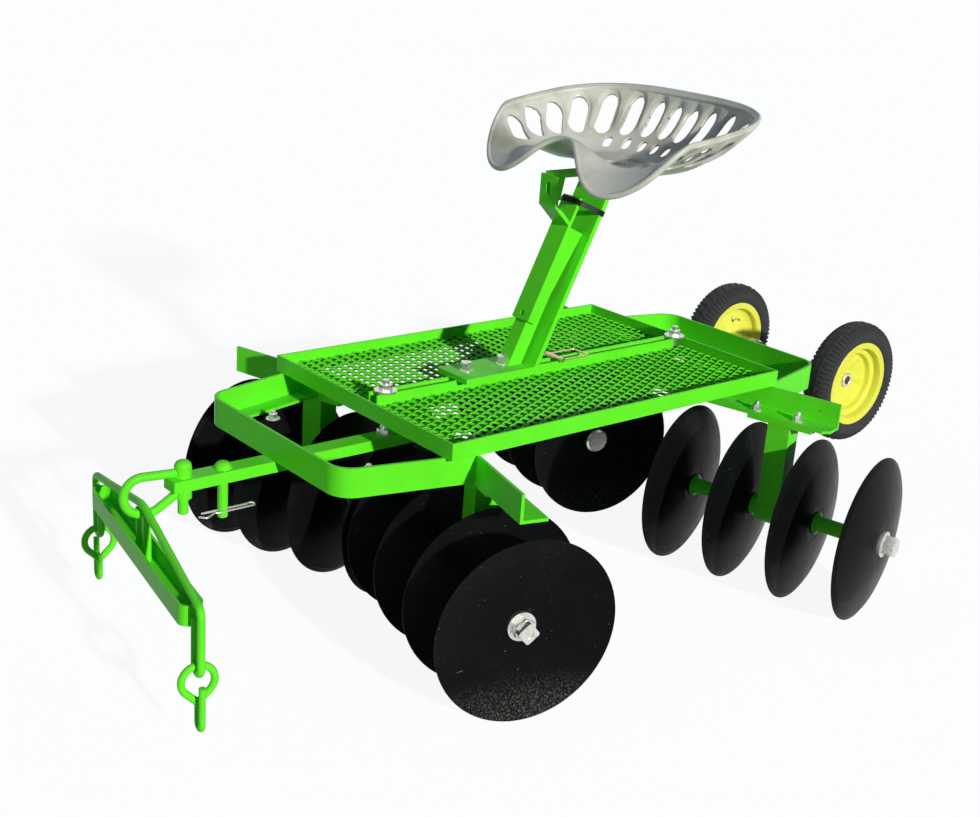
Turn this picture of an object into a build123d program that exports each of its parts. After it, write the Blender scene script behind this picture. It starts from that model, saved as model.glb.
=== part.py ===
"""Ride-on tandem disc harrow for a pony, standing on its discs with the road wheels folded up."""

import os
from math import copysign, cos, exp, hypot, pi, radians, sin, sqrt, tan

from build123d import *

# Driving dimensions, in millimetres and degrees.

# Disc gangs
disc_diameter = 406.4
disc_thickness = 4.0
disc_dish = 32.0
disc_flat_diameter = 96.0
disc_bevel = 12.0
disc_edge = 1.4
disc_pitch = 169.2
discs_per_gang = 4
front_gang_angle = 15.0
rear_gang_angle = 14.0
front_standard_reach = 321.0
rear_standard_reach = 411.0
gang_setback = 33.5
axle_square = 22.2
spool_diameter = 38.0
spool_flare_diameter = 57.0
spool_flare_length = 9.0
journal_diameter = 44.4
end_washer_diameter = 64.0
end_washer_thickness = 8.0
end_nut_width = 44.0
end_nut_length = 28.0
front_nut_length = 18.0
lock_nut_width = 36.0
lock_nut_length = 16.0
lock_nut_turn = 40.0
lock_nut_corner = 6.0
axle_tip_diameter = 22.0
axle_tip_recess = 3.0
bumper_thickness = 14.0

# Gang standards
standard_width = 57.0
standard_wall = 6.0
standard_plate_length = 170.0
standard_plate_width = 60.0
standard_plate_thickness = 9.5
bearing_diameter = 72.0
bearing_length = 60.0

# Frame of rolled angle
frame_top = 505.0
angle_leg = 63.5
angle_wall = 7.0
front_beam_half_span = 539.5
rear_beam_half_span = 513.7
rear_beam_chamfer = 16.0
front_bar_inset = 73.7
front_bar_flare = 13.1
rear_bar_inset = 71.7
rear_bar_flare = 13.3
bar_corner_radius = 55.0
bar_flange = 50.0

# Stations along the machine, measured rearwards from the hitch pin
front_reach = 179.91
hitch_to_nose = 31.0
hitch_to_clip_pin = 92.0
hitch_to_front_bar = 203.0
hitch_to_deck = 428.0
hitch_to_front_beams = 585.0
hitch_to_seat_base = 689.0
hitch_to_lock_pin = 1010.0
hitch_to_rear_beams = 1355.0
hitch_to_carrier_pivot = 1674.0
hitch_to_rear_bar = 1705.0
hitch_to_axle = 1918.5

# Drawbar, hitch pin and shackle
drawbar_width = 45.0
drawbar_thickness = 25.4
pin_diameter = 22.0
pin_head_diameter = 36.0
pin_head_height = 16.0
pin_tail = 56.0
clip_pin_tail = 84.0
shackle_rod = 19.0
shackle_eye_diameter = 36.0
shackle_eye_height = 20.0
shackle_bow_reach = 83.0
shackle_bow_radius = 40.0
shackle_bow_run = 20.0
shackle_eye_bite = 4.0
shackle_yaw = -10.0
clip_wire = 4.0
clip_behind = 72.0
clip_ahead = 62.0
clip_eye = 12.0
clip_drop = 67.0

# Singletree and trace hooks
singletree_half_length = 352.0
singletree_bar_drop = 76.0
singletree_bar_depth = 42.0
singletree_bar_width = 50.0
singletree_lip = 22.0
singletree_bar_corner = 22.0
singletree_bar_wall = 6.0
singletree_rod = 16.0
singletree_loop_drop = 128.0
singletree_loop_radius = 17.0
singletree_post_gap = 34.0
singletree_post = 10.0
hook_ring_rod = 15.0
hook_rod = 13.5
hook_ring_radius = 33.0
hook_neck_drop = 46.0
hook_neck_radius = 9.0
hook_length = 37.0
hook_gape = 12.0
hook_prong = 80.0

# Deck
deck_half_width = 334.7
deck_length = 1025.0
deck_rim_height = 38.1
deck_rim_wall = 4.8
mesh_thickness = 3.0
mesh_long_pitch = 84.0
mesh_short_pitch = 46.0
mesh_strand = 7.0
rail_gap = 25.0
rail_leg = 38.0
deck_bolt_diameter = 16.0
front_bolt_inset = 73.0
rear_bolt_inset = 19.0
bolt_end_length = 23.4
deck_washer_diameter = 52.0
deck_washer_thickness = 4.0
hex_width = 27.0
hex_height = 13.0
lock_pin_diameter = 11.0
lock_pin_length = 62.0
lock_wire = 4.5
lock_bail_length = 88.0

# Seat and its post
seat_bar_width = 108.0
seat_bar_thickness = 12.7
seat_base_length = 205.0
seat_post_lean = 25.4
seat_post_rise = 439.2
post_channel_width = 57.0
post_channel_wall = 6.0
post_channel_depth = 54.0
post_channel_toe = 26.0
post_channel_start = 92.0
post_channel_length = 242.0
post_core = 38.0
post_core_length = 160.0
post_hole_diameter = 14.0
post_hole_height = 107.0
fork_length = 72.0
fork_thickness = 9.0
fork_bend_ahead = 113.0
fork_bend_rise = 26.0
fork_tip_ahead = 143.0
fork_tip_rise = 89.0
fork_slot_length = 30.0
fork_slot_width = 14.0
bracket_thickness = 10.0
bracket_width = 46.0
bracket_drop = 62.0
seat_half_width = 322.0
seat_half_depth = 247.5
hitch_to_seat = 1147.5
seat_wall = 11.0
seat_margin = 9.0
seat_squareness = 2.8
seat_floor_share = 0.42
seat_wall_curve = 1.55
seat_back_rise = 158.0
seat_side_rise = 118.0
seat_lobe_drop = 44.5
seat_lobe_start = 0.35
seat_lobe_span = 0.7
seat_pommel_rise = 70.0
seat_pommel_width = 101.0
seat_pommel_start = 0.1
seat_pommel_span = 0.75
seat_notch = 72.0
seat_slot_step = 15.3
seat_outer_slots = 16
seat_outer_share = 0.81
seat_slot_length = 52.0
seat_slot_width = 30.0
seat_inner_slots = 8
seat_inner_share = 0.65
seat_inner_length = 34.0
seat_inner_width = 20.0
seat_hole_diameter = 34.0
seat_hole_spacing = 70.0
seat_hole_offset = 26.0
seat_grid_steps = 18
seat_outline_steps = 40

# Road wheels, folded up behind the rear bar
tyre_diameter = 334.8
tyre_width = 76.0
rim_diameter = 234.0
rim_width = 64.0
rim_wall = 4.0
hub_diameter = 50.0
hub_length = 76.0
hub_recess = 43.0
rim_flange_height = 15.4
wheel_half_track = 222.0
wheel_axle_height = 409.4
wheel_axle_diameter = 25.4
axle_cap_diameter = 40.0
axle_cap_thickness = 5.0
axle_sleeve_diameter = 52.0
arm_offset = 100.0
arm_thickness = 12.0
arm_depth = 46.0
pivot_drop = 53.5
pivot_tube_diameter = 42.0
pivot_pin_diameter = 25.4
lug_thickness = 12.0
lug_offset = 118.0
lug_width = 56.0

# Fits
running_clearance = 0.3
seat_clearance = 0.3
bracket_clearance = 0.8
pin_clearance = 0.4

# Values that follow from the driving dimensions
frame_base = frame_top - angle_leg
pivot_height = frame_base - pivot_drop
hub_height = disc_diameter / 2
tyre_radius = tyre_diameter / 2
hitch_y = (front_reach - hitch_to_axle - tyre_radius) / 2
deck_top = frame_top + deck_rim_height
drawbar_base = frame_base - drawbar_thickness
seat_bar_top = deck_top + seat_bar_thickness
seat_post_top = seat_bar_top + seat_post_rise
front_bar_half_width = deck_half_width - front_bar_inset
rear_bar_half_width = deck_half_width - rear_bar_inset
hitch_to_front_bolt = hitch_to_deck + front_bolt_inset
hitch_to_rear_bolt = hitch_to_deck + deck_length - rear_bolt_inset


def station(distance):
    """Place along the machine of a station that is given from the hitch pin."""
    return hitch_y + distance


def save(piece, name):
    """Label a finished piece and write it as its own file."""
    piece.part.label = name
    export_step(piece.part, f"parts/{name}.step")


def mirrored(piece):
    """The same piece for the machine's other side."""
    with BuildPart() as other:
        mirror(piece.part, about=Plane.YZ)
    return other


os.makedirs("parts", exist_ok=True)


# Gang beams: angle bars in a shallow V, upright leg outside, flat leg turned in at the bottom
def gang_beam(meet_y, angle, half_span, outward, chamfer_size):
    run = Vector(cos(radians(angle)), outward * sin(radians(angle)), 0)
    inward = Vector(sin(radians(angle)), -outward * cos(radians(angle)), 0)
    section = Plane((0, meet_y, frame_base), x_dir=-outward * inward, z_dir=run)
    upright = -outward
    with BuildPart() as beam:
        with BuildSketch(section):
            with BuildLine():
                Polyline(
                    (0, 0),
                    (upright * angle_leg, 0),
                    (upright * angle_leg, angle_wall),
                    (upright * angle_wall, angle_wall),
                    (upright * angle_wall, angle_leg),
                    (0, angle_leg),
                    close=True,
                )
            make_face()
        extrude(amount=half_span / cos(radians(angle)))
        extrude(beam.faces().sort_by(Axis((0, meet_y, frame_base), tuple(run)))[0], amount=angle_leg)
        split(bisect_by=Plane.YZ, keep=Keep.TOP)
        if chamfer_size > 0:
            tip = beam.faces().sort_by(Axis((0, meet_y, frame_base), tuple(run)))[-1]
            corner = tip.edges().filter_by(Axis.Z).sort_by(Axis.Y)[0]
            chamfer(corner, length=chamfer_size)
    return beam


front_left_beam = gang_beam(
    station(hitch_to_front_beams), front_gang_angle, front_beam_half_span, -1, 0
)
front_right_beam = mirrored(front_left_beam)
rear_left_beam = gang_beam(
    station(hitch_to_rear_beams), rear_gang_angle, rear_beam_half_span, 1, rear_beam_chamfer
)
rear_right_beam = mirrored(rear_left_beam)
save(front_left_beam, "front_left_beam")
save(front_right_beam, "front_right_beam")
save(rear_left_beam, "rear_left_beam")
save(rear_right_beam, "rear_right_beam")


# End bars of the frame: angle bent to a flared U that closes on the beams
def end_bar(bar_y, half_width, flare, outward, meet_y, angle):
    reach = 2 * angle_leg + abs(meet_y - bar_y)
    inset = outward * angle_wall / 2
    flange_inset = outward * bar_flange / 2
    slant = tan(radians(flare))
    beam_face = Plane(
        (0, meet_y, 0),
        x_dir=(0, 0, 1),
        z_dir=(sin(radians(angle)), outward * cos(radians(angle)), 0),
    )

    def plan(shift):
        """Plan of the bar's middle line, drawn in by a distance from its outer face."""
        corner = half_width - abs(shift) * tan(radians(45 - flare / 2))
        start_y = bar_y - shift
        tail = corner + slant * reach
        return [
            (-tail, start_y - outward * reach),
            (-corner, start_y),
            (corner, start_y),
            (tail, start_y - outward * reach),
        ]

    with BuildPart() as bar:
        with BuildSketch(Plane.XY.offset(frame_base)):
            with BuildLine():
                FilletPolyline(*plan(inset), radius=bar_corner_radius - angle_wall / 2)
            trace(line_width=angle_wall)
        extrude(amount=angle_leg)
        with BuildSketch(Plane.XY.offset(frame_base)):
            with BuildLine():
                FilletPolyline(*plan(flange_inset), radius=bar_corner_radius - bar_flange / 2)
            trace(line_width=bar_flange)
        extrude(amount=angle_wall)
        split(bisect_by=beam_face, keep=Keep.TOP)
        mirrored_face = Plane(
            (0, meet_y, 0),
            x_dir=(0, 0, 1),
            z_dir=(-sin(radians(angle)), outward * cos(radians(angle)), 0),
        )
        split(bisect_by=mirrored_face, keep=Keep.TOP)
    return bar


front_frame_bar = end_bar(
    station(hitch_to_front_bar),
    front_bar_half_width,
    front_bar_flare,
    -1,
    station(hitch_to_front_beams),
    -front_gang_angle,
)
save(front_frame_bar, "front_frame_bar")
rear_frame_bar = end_bar(
    station(hitch_to_rear_bar),
    rear_bar_half_width,
    rear_bar_flare,
    1,
    station(hitch_to_rear_beams),
    -rear_gang_angle,
)
save(rear_frame_bar, "rear_frame_bar")

# Drawbar: one flat bar under the frame, drilled for the hitch pin and the spare pin
drawbar_front = station(-hitch_to_nose)
drawbar_rear = station(hitch_to_rear_bar) - angle_wall
pin_hole = pin_diameter + 2 * pin_clearance
with BuildPart() as drawbar:
    with BuildSketch(Plane.XY.offset(drawbar_base)):
        with Locations((0, (drawbar_front + drawbar_rear) / 2)):
            Rectangle(drawbar_width, drawbar_rear - drawbar_front)
        with Locations((0, station(0)), (0, station(hitch_to_clip_pin))):
            Circle(pin_hole / 2, mode=Mode.SUBTRACT)
    extrude(amount=drawbar_thickness)
save(drawbar, "drawbar")


# Drop pins with a domed head
def drop_pin(pin_y, head_base, tail_base):
    with BuildPart() as pin:
        with BuildSketch(Plane((0, pin_y, tail_base))):
            Circle(pin_diameter / 2)
        extrude(amount=head_base - tail_base)
        with BuildSketch(Plane((0, pin_y, head_base))):
            Circle(pin_head_diameter / 2)
        extrude(amount=pin_head_height)
        fillet(pin.edges().group_by(Axis.Z)[-1], radius=pin_head_height * 0.9)
        chamfer(pin.edges().group_by(Axis.Z)[0], length=pin_diameter / 10)
    return pin


eye_base = frame_base + seat_clearance
eye_top = eye_base + shackle_eye_height
hitch_pin = drop_pin(station(0), eye_top + seat_clearance, drawbar_base - pin_tail)
save(hitch_pin, "hitch_pin")
clip_pin_y = station(hitch_to_clip_pin)
clip_height = drawbar_base - clip_drop
with BuildPart() as drawbar_pin:
    add(drop_pin(clip_pin_y, frame_base, drawbar_base - clip_pin_tail).part)
    with BuildSketch(Plane.XZ.offset(-clip_pin_y - pin_diameter)):
        with Locations((0, clip_height)):
            Circle(clip_wire / 2 + pin_clearance)
    extrude(amount=2 * pin_diameter, mode=Mode.SUBTRACT)
save(drawbar_pin, "drawbar_pin")

# Spring clip through the spare pin: a straight leg, an eye behind and a waved leg round the pin
leg_gap = pin_diameter / 2 + clip_wire / 2 + seat_clearance
with BuildPart() as pin_clip:
    with BuildLine() as clip_path:
        FilletPolyline(
            (0, clip_pin_y - clip_ahead + clip_eye, clip_height),
            (0, clip_pin_y + clip_behind - clip_eye, clip_height),
            (-clip_eye / 2, clip_pin_y + clip_behind, clip_height),
            (leg_gap, clip_pin_y + clip_behind, clip_height),
            (leg_gap, clip_pin_y - clip_eye, clip_height),
            (clip_wire + clip_eye / 2, clip_pin_y - 2 * clip_eye, clip_height),
            (leg_gap + clip_eye, clip_pin_y - clip_ahead + clip_eye, clip_height),
            (clip_eye, clip_pin_y - clip_ahead, clip_height),
            radius=clip_eye / 2,
        )
    with BuildSketch(Plane(clip_path.line @ 0, z_dir=clip_path.line % 0)):
        Circle(clip_wire / 2)
    sweep()
save(pin_clip, "pin_clip")

# Shackle: a bent rod with an eye above and one below the drawbar
bow_height = frame_base + shackle_eye_height / 2 - shackle_bow_radius
bow_front = shackle_bow_reach + shackle_bow_radius
lower_eye_top = drawbar_base - seat_clearance
lower_eye_base = lower_eye_top - shackle_eye_height
upper_rod = bow_height + shackle_bow_radius
lower_rod = bow_height - shackle_bow_radius
arm_root = shackle_eye_diameter / 2 - shackle_eye_bite
lower_arm_root = lower_eye_top - shackle_eye_height / 2


def turned(angle):
    """Upright plane through the hitch pin, x forwards, y up, turned about the pin."""
    way = radians(angle)
    return Plane(
        (0, station(0), 0), x_dir=(sin(way), -cos(way), 0), z_dir=(-cos(way), -sin(way), 0)
    )


shackle_plane = turned(shackle_yaw)
with BuildPart() as shackle:
    with BuildLine(shackle_plane) as bow:
        upper_arm = Line((arm_root, upper_rod), (shackle_bow_reach, upper_rod))
        front_bow = ThreePointArc(
            upper_arm @ 1, (bow_front, bow_height), (shackle_bow_reach, lower_rod)
        )
        FilletPolyline(
            front_bow @ 1,
            shackle_plane.from_local_coords(Vector(shackle_bow_reach - shackle_bow_run, lower_rod, 0)),
            shackle_plane.from_local_coords(Vector(arm_root, lower_arm_root, 0)),
            radius=shackle_bow_radius,
        )
    with BuildSketch(Plane(bow.line @ 0, z_dir=bow.line % 0)):
        Circle(shackle_rod / 2)
    sweep()
    for base in (eye_base, lower_eye_base):
        with BuildSketch(Plane((0, station(0), base))):
            Circle(shackle_eye_diameter / 2)
        extrude(amount=shackle_eye_height)
    with BuildSketch(Plane((0, station(0), lower_eye_base - shackle_eye_height))):
        Circle(pin_diameter / 2 + running_clearance)
    extrude(amount=eye_top - lower_eye_base + 2 * shackle_eye_height, mode=Mode.SUBTRACT)
save(shackle, "shackle")

# Singletree: a trough bar under a bent truss rod that hangs by its crown in the shackle
crown_height = lower_rod + shackle_rod / 2 + singletree_rod / 2 + seat_clearance
yaw = radians(shackle_yaw)
tree_centre = Vector(
    shackle_bow_reach * sin(yaw), station(0) - shackle_bow_reach * cos(yaw), 0
)
tree_plane = Plane(tree_centre, x_dir=(cos(yaw), sin(yaw), 0), z_dir=(sin(yaw), -cos(yaw), 0))
bar_top = crown_height - singletree_bar_drop
bend_height = bar_top + singletree_rod / 2
loop_height = bar_top - singletree_loop_drop
inner_leg = singletree_half_length - 2 * singletree_loop_radius
bar_half = inner_leg - singletree_rod / 2 - seat_clearance
with BuildPart() as singletree_rod_piece:
    for side in (-1, 1):
        with BuildLine(tree_plane) as truss:
            outer = FilletPolyline(
                (0, crown_height),
                (side * singletree_rod, crown_height),
                (side * singletree_half_length, bend_height),
                (side * singletree_half_length, loop_height + singletree_loop_radius),
                radius=singletree_rod * 1.1,
            )
            turn = ThreePointArc(
                outer @ 1,
                (side * (singletree_half_length - singletree_loop_radius), loop_height),
                (side * inner_leg, loop_height + singletree_loop_radius),
            )
            Line(turn @ 1, (side * inner_leg, bar_top - singletree_bar_depth / 2))
        with BuildSketch(Plane(truss.line @ 0, z_dir=truss.line % 0)):
            Circle(singletree_rod / 2)
        sweep()
save(singletree_rod_piece, "singletree_rod")

bar_base = bar_top - singletree_bar_depth
half_bar_width = singletree_bar_width / 2
bar_plane = Plane((tree_centre.X, tree_centre.Y, bar_base), x_dir=tree_plane.x_dir, z_dir=(0, 0, 1))
with BuildPart() as singletree_bar:
    with BuildSketch(bar_plane):
        RectangleRounded(2 * bar_half, singletree_bar_width, singletree_bar_corner)
    extrude(amount=singletree_bar_depth)
    with BuildSketch(bar_plane.offset(singletree_bar_wall)):
        RectangleRounded(
            2 * (bar_half - singletree_bar_wall),
            singletree_bar_width - 2 * singletree_bar_wall,
            singletree_bar_corner - singletree_bar_wall,
        )
    extrude(amount=singletree_bar_depth, mode=Mode.SUBTRACT)
    with BuildSketch(Plane(tree_centre, x_dir=tree_plane.z_dir, z_dir=tree_plane.x_dir)):
        with BuildLine():
            Polyline(
                (singletree_bar_width, bar_base + singletree_lip),
                (half_bar_width - singletree_bar_wall, bar_base + singletree_lip),
                (singletree_bar_wall - half_bar_width, bar_top),
                (singletree_bar_width, bar_top),
                close=True,
            )
        make_face()
    extrude(amount=2 * bar_half, both=True, mode=Mode.SUBTRACT)
    rod_slope = (crown_height - bend_height) / (singletree_half_length - singletree_rod)
    post_reach = singletree_post_gap / 2 + singletree_post - singletree_rod
    rod_underside = crown_height - rod_slope * post_reach - singletree_rod / 2 * hypot(1, rod_slope)
    post_top = rod_underside - seat_clearance
    post_base = bar_base + singletree_bar_wall
    with BuildSketch(tree_plane.offset(-singletree_rod / 2)):
        with GridLocations(singletree_post_gap + singletree_post, 1, 2, 1):
            with Locations((0, (post_top + post_base) / 2)):
                Rectangle(singletree_post, post_top - post_base)
    extrude(amount=singletree_rod)
save(singletree_bar, "singletree_bar")

# Trace hooks: a drop-shaped eye on each end loop, and below its neck a hook turned square to the eye
ring_top = loop_height + singletree_rod / 2 + hook_ring_rod / 2 + seat_clearance
ring_centre = ring_top - hook_ring_radius
hook_neck = ring_centre - hook_neck_drop
hook_turn = hook_neck - hook_length
eye_share = hook_ring_radius / hook_neck_drop
eye_side = hook_ring_radius * sqrt(1 - eye_share**2)
eye_low = -hook_ring_radius * eye_share
for side, name in ((1, "left"), (-1, "right")):
    hang = side * (singletree_half_length - singletree_loop_radius)
    hook_plane = Plane(
        tree_plane.from_local_coords(Vector(hang, 0, 0)),
        x_dir=tree_plane.x_dir,
        z_dir=tree_plane.z_dir,
    )
    eye_plane = Plane(
        hook_plane.from_local_coords(Vector(0, ring_centre, 0)),
        x_dir=hook_plane.z_dir,
        z_dir=-hook_plane.x_dir,
    )
    neck = hook_plane.from_local_coords(Vector(0, hook_neck, 0))
    with BuildPart() as trace_hook:
        with BuildLine(eye_plane) as eye:
            ThreePointArc((eye_side, eye_low), (0, hook_ring_radius), (-eye_side, eye_low))
        with BuildSketch(Plane(eye.line @ 0, z_dir=eye.line % 0)):
            Circle(hook_ring_rod / 2)
        sweep()
        for root in (eye.line @ 0, eye.line @ 1):
            with BuildSketch(Plane(root, z_dir=neck - root)):
                Circle(hook_ring_rod / 2)
            extrude(amount=(neck - root).length)
        with Locations(neck):
            Sphere(hook_neck_radius)
        with BuildLine(hook_plane) as bill:
            shank = Line((0, hook_neck), (0, hook_turn))
            throat = ThreePointArc(
                shank @ 1, (side * hook_gape, hook_turn - hook_gape), (side * 2 * hook_gape, hook_turn)
            )
            Line(throat @ 1, (side * 2 * hook_gape, hook_turn + hook_prong))
        with BuildSketch(Plane(bill.line @ 0, z_dir=bill.line % 0)):
            Circle(hook_rod / 2)
        sweep()
    save(trace_hook, f"trace_hook_{name}")


# Disc gangs and the standards that carry them
def gang_origin(front):
    """Middle of the left gang's axis, and its outward direction."""
    angle = radians(front_gang_angle if front else rear_gang_angle)
    outward = -1 if front else 1
    meet = station(hitch_to_front_beams if front else hitch_to_rear_beams)
    reach = front_standard_reach if front else rear_standard_reach
    run = Vector(cos(angle), outward * sin(angle), 0)
    start = Vector(0, meet - outward * gang_setback / cos(angle), hub_height)
    return start + run * reach, run


rim_radius = disc_diameter / 2
flat_radius = disc_flat_diameter / 2
sphere_rise = (rim_radius**2 + disc_dish**2 - flat_radius**2) / (2 * disc_dish)
sphere_radius = hypot(flat_radius, sphere_rise)
spool_bore = axle_square / sqrt(2) + running_clearance


def dish_at(radius):
    """Depth of the dish at a radius, measured from its flat centre."""
    return sphere_rise - sqrt(sphere_radius**2 - radius**2)


for end, front in (("front", True), ("rear", False)):
    origin, run = gang_origin(front)
    crown_side = -1 if front else 1
    gang_plane = Plane(origin, x_dir=run, z_dir=run.cross(Vector(0, 0, 1)))
    cross_plane = Plane(origin, x_dir=(0, 0, 1), z_dir=run)
    upright_plane = Plane(origin, x_dir=run, z_dir=(0, 0, 1))
    gang_axis = Axis(origin, run)
    rims = [((discs_per_gang - 1) / 2 - i) * disc_pitch for i in range(discs_per_gang)]
    hubs = [rim + crown_side * disc_dish for rim in rims]
    outer_faces = [hub + max(0, crown_side) * disc_thickness for hub in hubs]
    inner_faces = [hub + min(0, crown_side) * disc_thickness for hub in hubs]
    bevel_radius = rim_radius - disc_bevel
    middle_radius = (flat_radius + bevel_radius) / 2
    square_hole = axle_square + 2 * running_clearance

    with BuildPart() as discs:
        for hub in hubs:
            back = hub + crown_side * disc_thickness
            with BuildSketch(gang_plane):
                with BuildLine():
                    Polyline((hub, 0), (hub, flat_radius))
                    ThreePointArc(
                        (hub, flat_radius),
                        (hub - crown_side * dish_at((flat_radius + rim_radius) / 2),
                         (flat_radius + rim_radius) / 2),
                        (hub - crown_side * disc_dish, rim_radius),
                    )
                    Polyline(
                        (hub - crown_side * disc_dish, rim_radius),
                        (hub - crown_side * (disc_dish - disc_edge), rim_radius),
                        (back - crown_side * dish_at(bevel_radius), bevel_radius),
                    )
                    ThreePointArc(
                        (back - crown_side * dish_at(bevel_radius), bevel_radius),
                        (back - crown_side * dish_at(middle_radius), middle_radius),
                        (back, flat_radius),
                    )
                    Polyline((back, flat_radius), (back, 0), (hub, 0))
                make_face()
            revolve(axis=gang_axis)
        with BuildSketch(cross_plane.offset(-discs_per_gang * disc_pitch)):
            Rectangle(square_hole, square_hole)
        extrude(amount=2 * discs_per_gang * disc_pitch, mode=Mode.SUBTRACT)

    with BuildPart() as spools:
        for i in range(discs_per_gang - 1):
            low, high = outer_faces[i + 1], inner_faces[i]
            on_bearing = low < 0 < high
            barrel = journal_diameter / 2 if on_bearing else spool_diameter / 2
            flare = spool_flare_diameter / 2
            with BuildSketch(gang_plane):
                with BuildLine():
                    Polyline(
                        (low, spool_bore),
                        (low, flare),
                        (low + spool_flare_length / 2, flare),
                        (low + spool_flare_length, barrel),
                        (high - spool_flare_length, barrel),
                        (high - spool_flare_length / 2, flare),
                        (high, flare),
                        (high, spool_bore),
                        close=True,
                    )
                make_face()
            revolve(axis=gang_axis)

    nut_start = outer_faces[0] + end_washer_thickness
    nut_length = front_nut_length if front else end_nut_length
    nut_end = nut_start + nut_length
    bumper_start = inner_faces[-1] - bumper_thickness
    with BuildPart() as axle:
        with BuildSketch(cross_plane.offset(bumper_start)):
            Rectangle(axle_square, axle_square)
        extrude(amount=nut_start - bumper_start)
        with BuildSketch(cross_plane.offset(outer_faces[0])):
            Circle(end_washer_diameter / 2)
        extrude(amount=end_washer_thickness)
        with BuildSketch(cross_plane.offset(nut_start)):
            RegularPolygon(end_nut_width / 2, 6, major_radius=False)
        extrude(amount=nut_length)
        if front:
            with BuildSketch(cross_plane.offset(nut_end)):
                with Locations(Location((0, 0), lock_nut_turn)):
                    RectangleRounded(lock_nut_width, lock_nut_width, lock_nut_corner)
            extrude(amount=lock_nut_length)
            with BuildSketch(cross_plane.offset(nut_end + lock_nut_length - axle_tip_recess)):
                Circle(axle_tip_diameter / 2)
            extrude(amount=axle_tip_recess, mode=Mode.SUBTRACT)
        with BuildSketch(cross_plane.offset(bumper_start)):
            Circle(end_washer_diameter / 2)
        extrude(amount=bumper_thickness)
        chamfer(axle.faces().sort_by(gang_axis)[0].edges(), length=bumper_thickness / 3)

    plate_top = frame_base - hub_height
    plate_base = plate_top - standard_plate_thickness
    with BuildPart() as standard:
        with BuildSketch(cross_plane.offset(-bearing_length / 2)):
            Circle(bearing_diameter / 2)
        extrude(amount=bearing_length)
        with BuildSketch(upright_plane):
            Rectangle(standard_width, standard_width)
        extrude(amount=plate_base)
        bore_base = bearing_diameter / 2 + standard_wall
        with BuildSketch(upright_plane.offset(bore_base)):
            Rectangle(standard_width - 2 * standard_wall, standard_width - 2 * standard_wall)
        extrude(amount=plate_base - bore_base, mode=Mode.SUBTRACT)
        with BuildSketch(upright_plane.offset(plate_base)):
            Rectangle(standard_plate_length, standard_plate_width)
        extrude(amount=standard_plate_thickness)
        with BuildSketch(cross_plane.offset(-bearing_length)):
            Circle(journal_diameter / 2 + running_clearance)
        extrude(amount=2 * bearing_length, mode=Mode.SUBTRACT)

    for piece, name in ((discs, "discs"), (spools, "spools"), (axle, "axle"), (standard, "standard")):
        save(piece, f"{end}_left_{name}")
        save(mirrored(piece), f"{end}_right_{name}")

# Deck: a tray rim of angle, two rails along the middle slot, and expanded mesh
deck_front = station(hitch_to_deck)
deck_middle = deck_front + deck_length / 2
mesh_base = frame_top + deck_rim_wall
with BuildPart() as deck_rim:
    with BuildSketch(Plane((0, deck_middle, frame_top))):
        Rectangle(2 * deck_half_width, deck_length)
        Rectangle(
            2 * (deck_half_width - deck_rim_wall), deck_length - 2 * deck_rim_wall, mode=Mode.SUBTRACT
        )
    extrude(amount=deck_rim_height)
    with BuildSketch(Plane((0, deck_middle, frame_top))):
        Rectangle(2 * deck_half_width, deck_length)
        Rectangle(
            2 * (deck_half_width - deck_rim_height),
            deck_length - 2 * deck_rim_height,
            mode=Mode.SUBTRACT,
        )
        with Locations((0, station(hitch_to_rear_bolt) - deck_middle)):
            Circle(deck_bolt_diameter / 2 + pin_clearance, mode=Mode.SUBTRACT)
    extrude(amount=deck_rim_wall)
save(deck_rim, "deck_rim")

rail_length = deck_length - 2 * deck_rim_height
rail_end = Plane((0, deck_middle - rail_length / 2, frame_top), x_dir=(1, 0, 0), z_dir=(0, -1, 0))
with BuildPart() as deck_rails:
    with BuildSketch(rail_end):
        with BuildLine():
            Polyline(
                (rail_gap / 2, 0),
                (rail_gap / 2, deck_rim_height),
                (rail_gap / 2 + deck_rim_wall, deck_rim_height),
                (rail_gap / 2 + deck_rim_wall, deck_rim_wall),
                (rail_gap / 2 + rail_leg, deck_rim_wall),
                (rail_gap / 2 + rail_leg, 0),
                close=True,
            )
        make_face()
        mirror(about=Plane.YZ)
    extrude(amount=-rail_length)
save(deck_rails, "deck_rails")

mesh_inner = rail_gap / 2 + deck_rim_wall + running_clearance
mesh_outer = deck_half_width - deck_rim_wall - running_clearance
mesh_width = mesh_outer - mesh_inner
mesh_length = deck_length - 2 * deck_rim_wall - 2 * running_clearance
columns = int(mesh_width // mesh_short_pitch) - 1
rows = int(mesh_length // mesh_long_pitch) - 1
with BuildPart() as deck_mesh:
    for side in (-1, 1):
        with BuildSketch(Plane((side * (mesh_inner + mesh_outer) / 2, deck_middle, mesh_base))):
            Rectangle(mesh_width, mesh_length)
            for count_x, count_y in ((columns, rows), (columns - 1, rows + 1)):
                with GridLocations(mesh_short_pitch, mesh_long_pitch, count_x, count_y):
                    Polygon(
                        (mesh_short_pitch / 2 - mesh_strand, 0),
                        (0, mesh_long_pitch / 2 - 2 * mesh_strand),
                        (mesh_strand - mesh_short_pitch / 2, 0),
                        (0, 2 * mesh_strand - mesh_long_pitch / 2),
                        mode=Mode.SUBTRACT,
                    )
        extrude(amount=mesh_thickness)
save(deck_mesh, "deck_mesh")

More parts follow.
